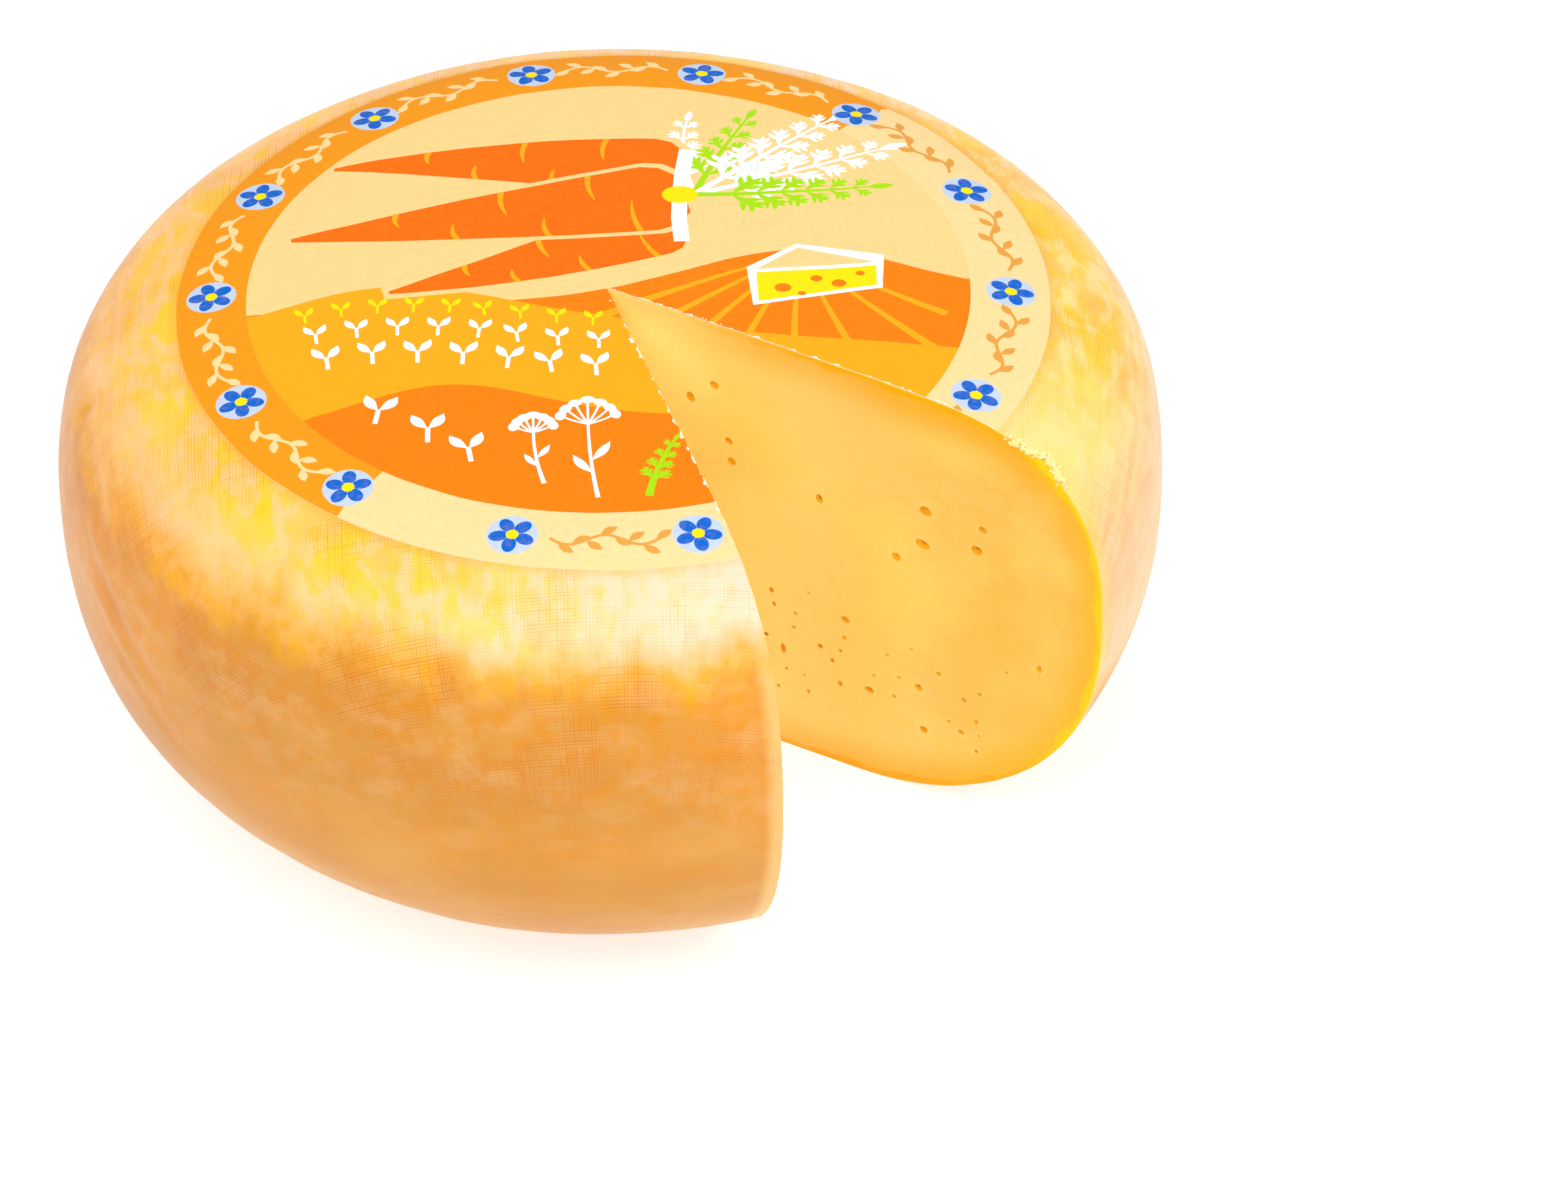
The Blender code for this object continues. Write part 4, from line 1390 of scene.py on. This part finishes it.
def paper_cut_lines():
    """The label's two cut edges, as points on its top."""
    paper = surface_of(label_mesh)
    for side, cut in zip(label_outline()[1], CUTS):
        away = away_from_cut(*cut)
        hits = [straight_down(paper, *(np.add(point, away * FIBRE_INSET_MM) * MM)) for point in side[2:-1]]
        yield [tuple(hit) for hit in hits if hit is not None]


def set_out(mesh):
    """Puts grains in the scene as a piece of their own."""
    piece = bpy.data.objects.new(mesh.name, mesh)
    bpy.context.scene.collection.objects.link(piece)
    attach(piece, "root")


torn_line = polyline_mesh("torn_line", torn_edge_line())
crumb_mesh = grow("rind_crumbs", torn_line, crust, crumb_material(), {
    "Spacing": CRUMB_SPACING,
    "Smallest": CRUMB_SIZES[0],
    "Largest": CRUMB_SIZES[1],
    "Least Shape": CRUMB_SHAPES[0],
    "Most Shape": CRUMB_SHAPES[1],
    "Spread": CRUMB_SPREAD,
    "Ruggedness": CRUMB_RUGGEDNESS,
    "Melt": CRUMB_MELT,
    "Seed": CRUMB_SEED,
})
set_out(crumb_mesh)
for number, points in enumerate(paper_cut_lines(), 1):
    cut_line = polyline_mesh("paper_cut", points)
    fibre_mesh = grow(f"paper_fibres_{number}", cut_line, crust, label_mesh.materials[1], {
        "Spacing": FIBRE_SPACING * number,
        "Smallest": FIBRE_SIZES[0],
        "Largest": FIBRE_SIZES[1],
        "Least Shape": FIBRE_SHAPES[0],
        "Most Shape": FIBRE_SHAPES[1],
        "Spread": FIBRE_SPREAD,
        "Ruggedness": FIBRE_SIZES[1],
        "Melt": FIBRE_MELT,
        "Seed": FIBRE_SEED + number,
    })
    set_out(fibre_mesh)

# The studio
# A white sweep lit from below as well as above, so that it goes plain white round the cheese, one large soft
# box in front and a smaller one to the right, and a pale sky all round. The camera stands as in the photo.

PICTURE_WIDTH_PX = 1555
FOCAL_PX = 6883.2
SENSOR_WIDTH = 36.0
CAMERA_DISTANCE = 1.5344
CAMERA_RISE = 0.6869
CAMERA_YAW = 0.0301
CAMERA_PITCH = 0.6752
CAMERA_ROLL = -0.0098
FLOOR_SIZE = 6.0
FLOOR_GLOW = 0.68
# Soft boxes: bearing and rise in degrees, distance and size in metres, and power in watts.
SOFT_BOXES = {
    "left_box": (-118.0, 52.0, 1.9, 1.1, 17.0),
    "right_box": (-30.0, 42.0, 1.9, 0.9, 12.0),
    "overhead_box": (-60.0, 84.0, 1.7, 1.3, 7.0),
}
SKY_STRENGTH = 0.5
AIM_SHARE = 0.7


def place_camera():
    """Stands the camera where its yaw, pitch and roll see the wheel as the photographer did."""
    camera = bpy.data.objects.new("camera", bpy.data.cameras.new("camera"))
    bpy.context.scene.collection.objects.link(camera)
    forward = Vector((math.sin(CAMERA_YAW) * math.cos(CAMERA_PITCH),
                      math.cos(CAMERA_YAW) * math.cos(CAMERA_PITCH), -math.sin(CAMERA_PITCH)))
    level = Vector((math.cos(CAMERA_YAW), -math.sin(CAMERA_YAW), 0.0))
    upright = level.cross(forward)
    right = math.cos(CAMERA_ROLL) * level + math.sin(CAMERA_ROLL) * upright
    up = math.cos(CAMERA_ROLL) * upright - math.sin(CAMERA_ROLL) * level
    camera.matrix_world = Matrix((right, up, -forward)).transposed().to_4x4()
    camera.location = CAMERA_DISTANCE * Vector((0.0, -math.cos(CAMERA_RISE), math.sin(CAMERA_RISE)))
    camera.data.sensor_fit = "HORIZONTAL"
    camera.data.sensor_width = SENSOR_WIDTH
    camera.data.lens = FOCAL_PX / PICTURE_WIDTH_PX * SENSOR_WIDTH
    bpy.context.scene.camera = camera


def area_light(name, size, power, place, aim):
    """A round soft box that faces a point."""
    lamp = bpy.data.lights.new(name, "AREA")
    lamp.shape = "DISK"
    lamp.size = size
    lamp.energy = power
    light = bpy.data.objects.new(name, lamp)
    light.location = place
    light.rotation_euler = (aim - place).to_track_quat("-Z", "Y").to_euler()
    bpy.context.scene.collection.objects.link(light)


def make_floor():
    """A matt white board that also glows a little, as a sheet lit from below does."""
    material, _ = new_material("white_sweep", {
        "Base Color": colour("#BCBCBC"),
        "Roughness": 0.9,
        "Specular IOR Level": 0.0,
        "Emission Color": (1.0, 1.0, 1.0, 1.0),
        "Emission Strength": FLOOR_GLOW,
    })
    half = FLOOR_SIZE / 2
    mesh = bpy.data.meshes.new("floor")
    corners = [(-half, -half, 0), (half, -half, 0), (half, half, 0), (-half, half, 0)]
    mesh.from_pydata(corners, [], [(0, 1, 2, 3)])
    mesh.materials.append(material)
    floor = bpy.data.objects.new("floor", mesh)
    bpy.context.scene.collection.objects.link(floor)
    floor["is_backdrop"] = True


def make_sky():
    """An even white sky."""
    world = bpy.context.scene.world or bpy.data.worlds.new("studio")
    bpy.context.scene.world = world
    world.use_nodes = True
    sky = world.node_tree.nodes["Background"]
    sky.inputs["Color"].default_value = (1.0, 1.0, 1.0, 1.0)
    sky.inputs["Strength"].default_value = SKY_STRENGTH


place_camera()
make_floor()
make_sky()
middle_of_wheel = Vector((0.0, 0.0, WHEEL_HEIGHT * AIM_SHARE))
for name, (bearing, rise, distance, size, power) in SOFT_BOXES.items():
    rise = math.radians(rise)
    towards = direction(bearing) * math.cos(rise) + Vector((0.0, 0.0, math.sin(rise)))
    area_light(name, size, power, middle_of_wheel + towards * distance, middle_of_wheel)
bpy.context.scene.view_settings.view_transform = "Standard"

boxes = {"cad": cad_box, "visual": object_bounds()}
{name: [list(corner) for corner in box] for name, box in boxes.items()}
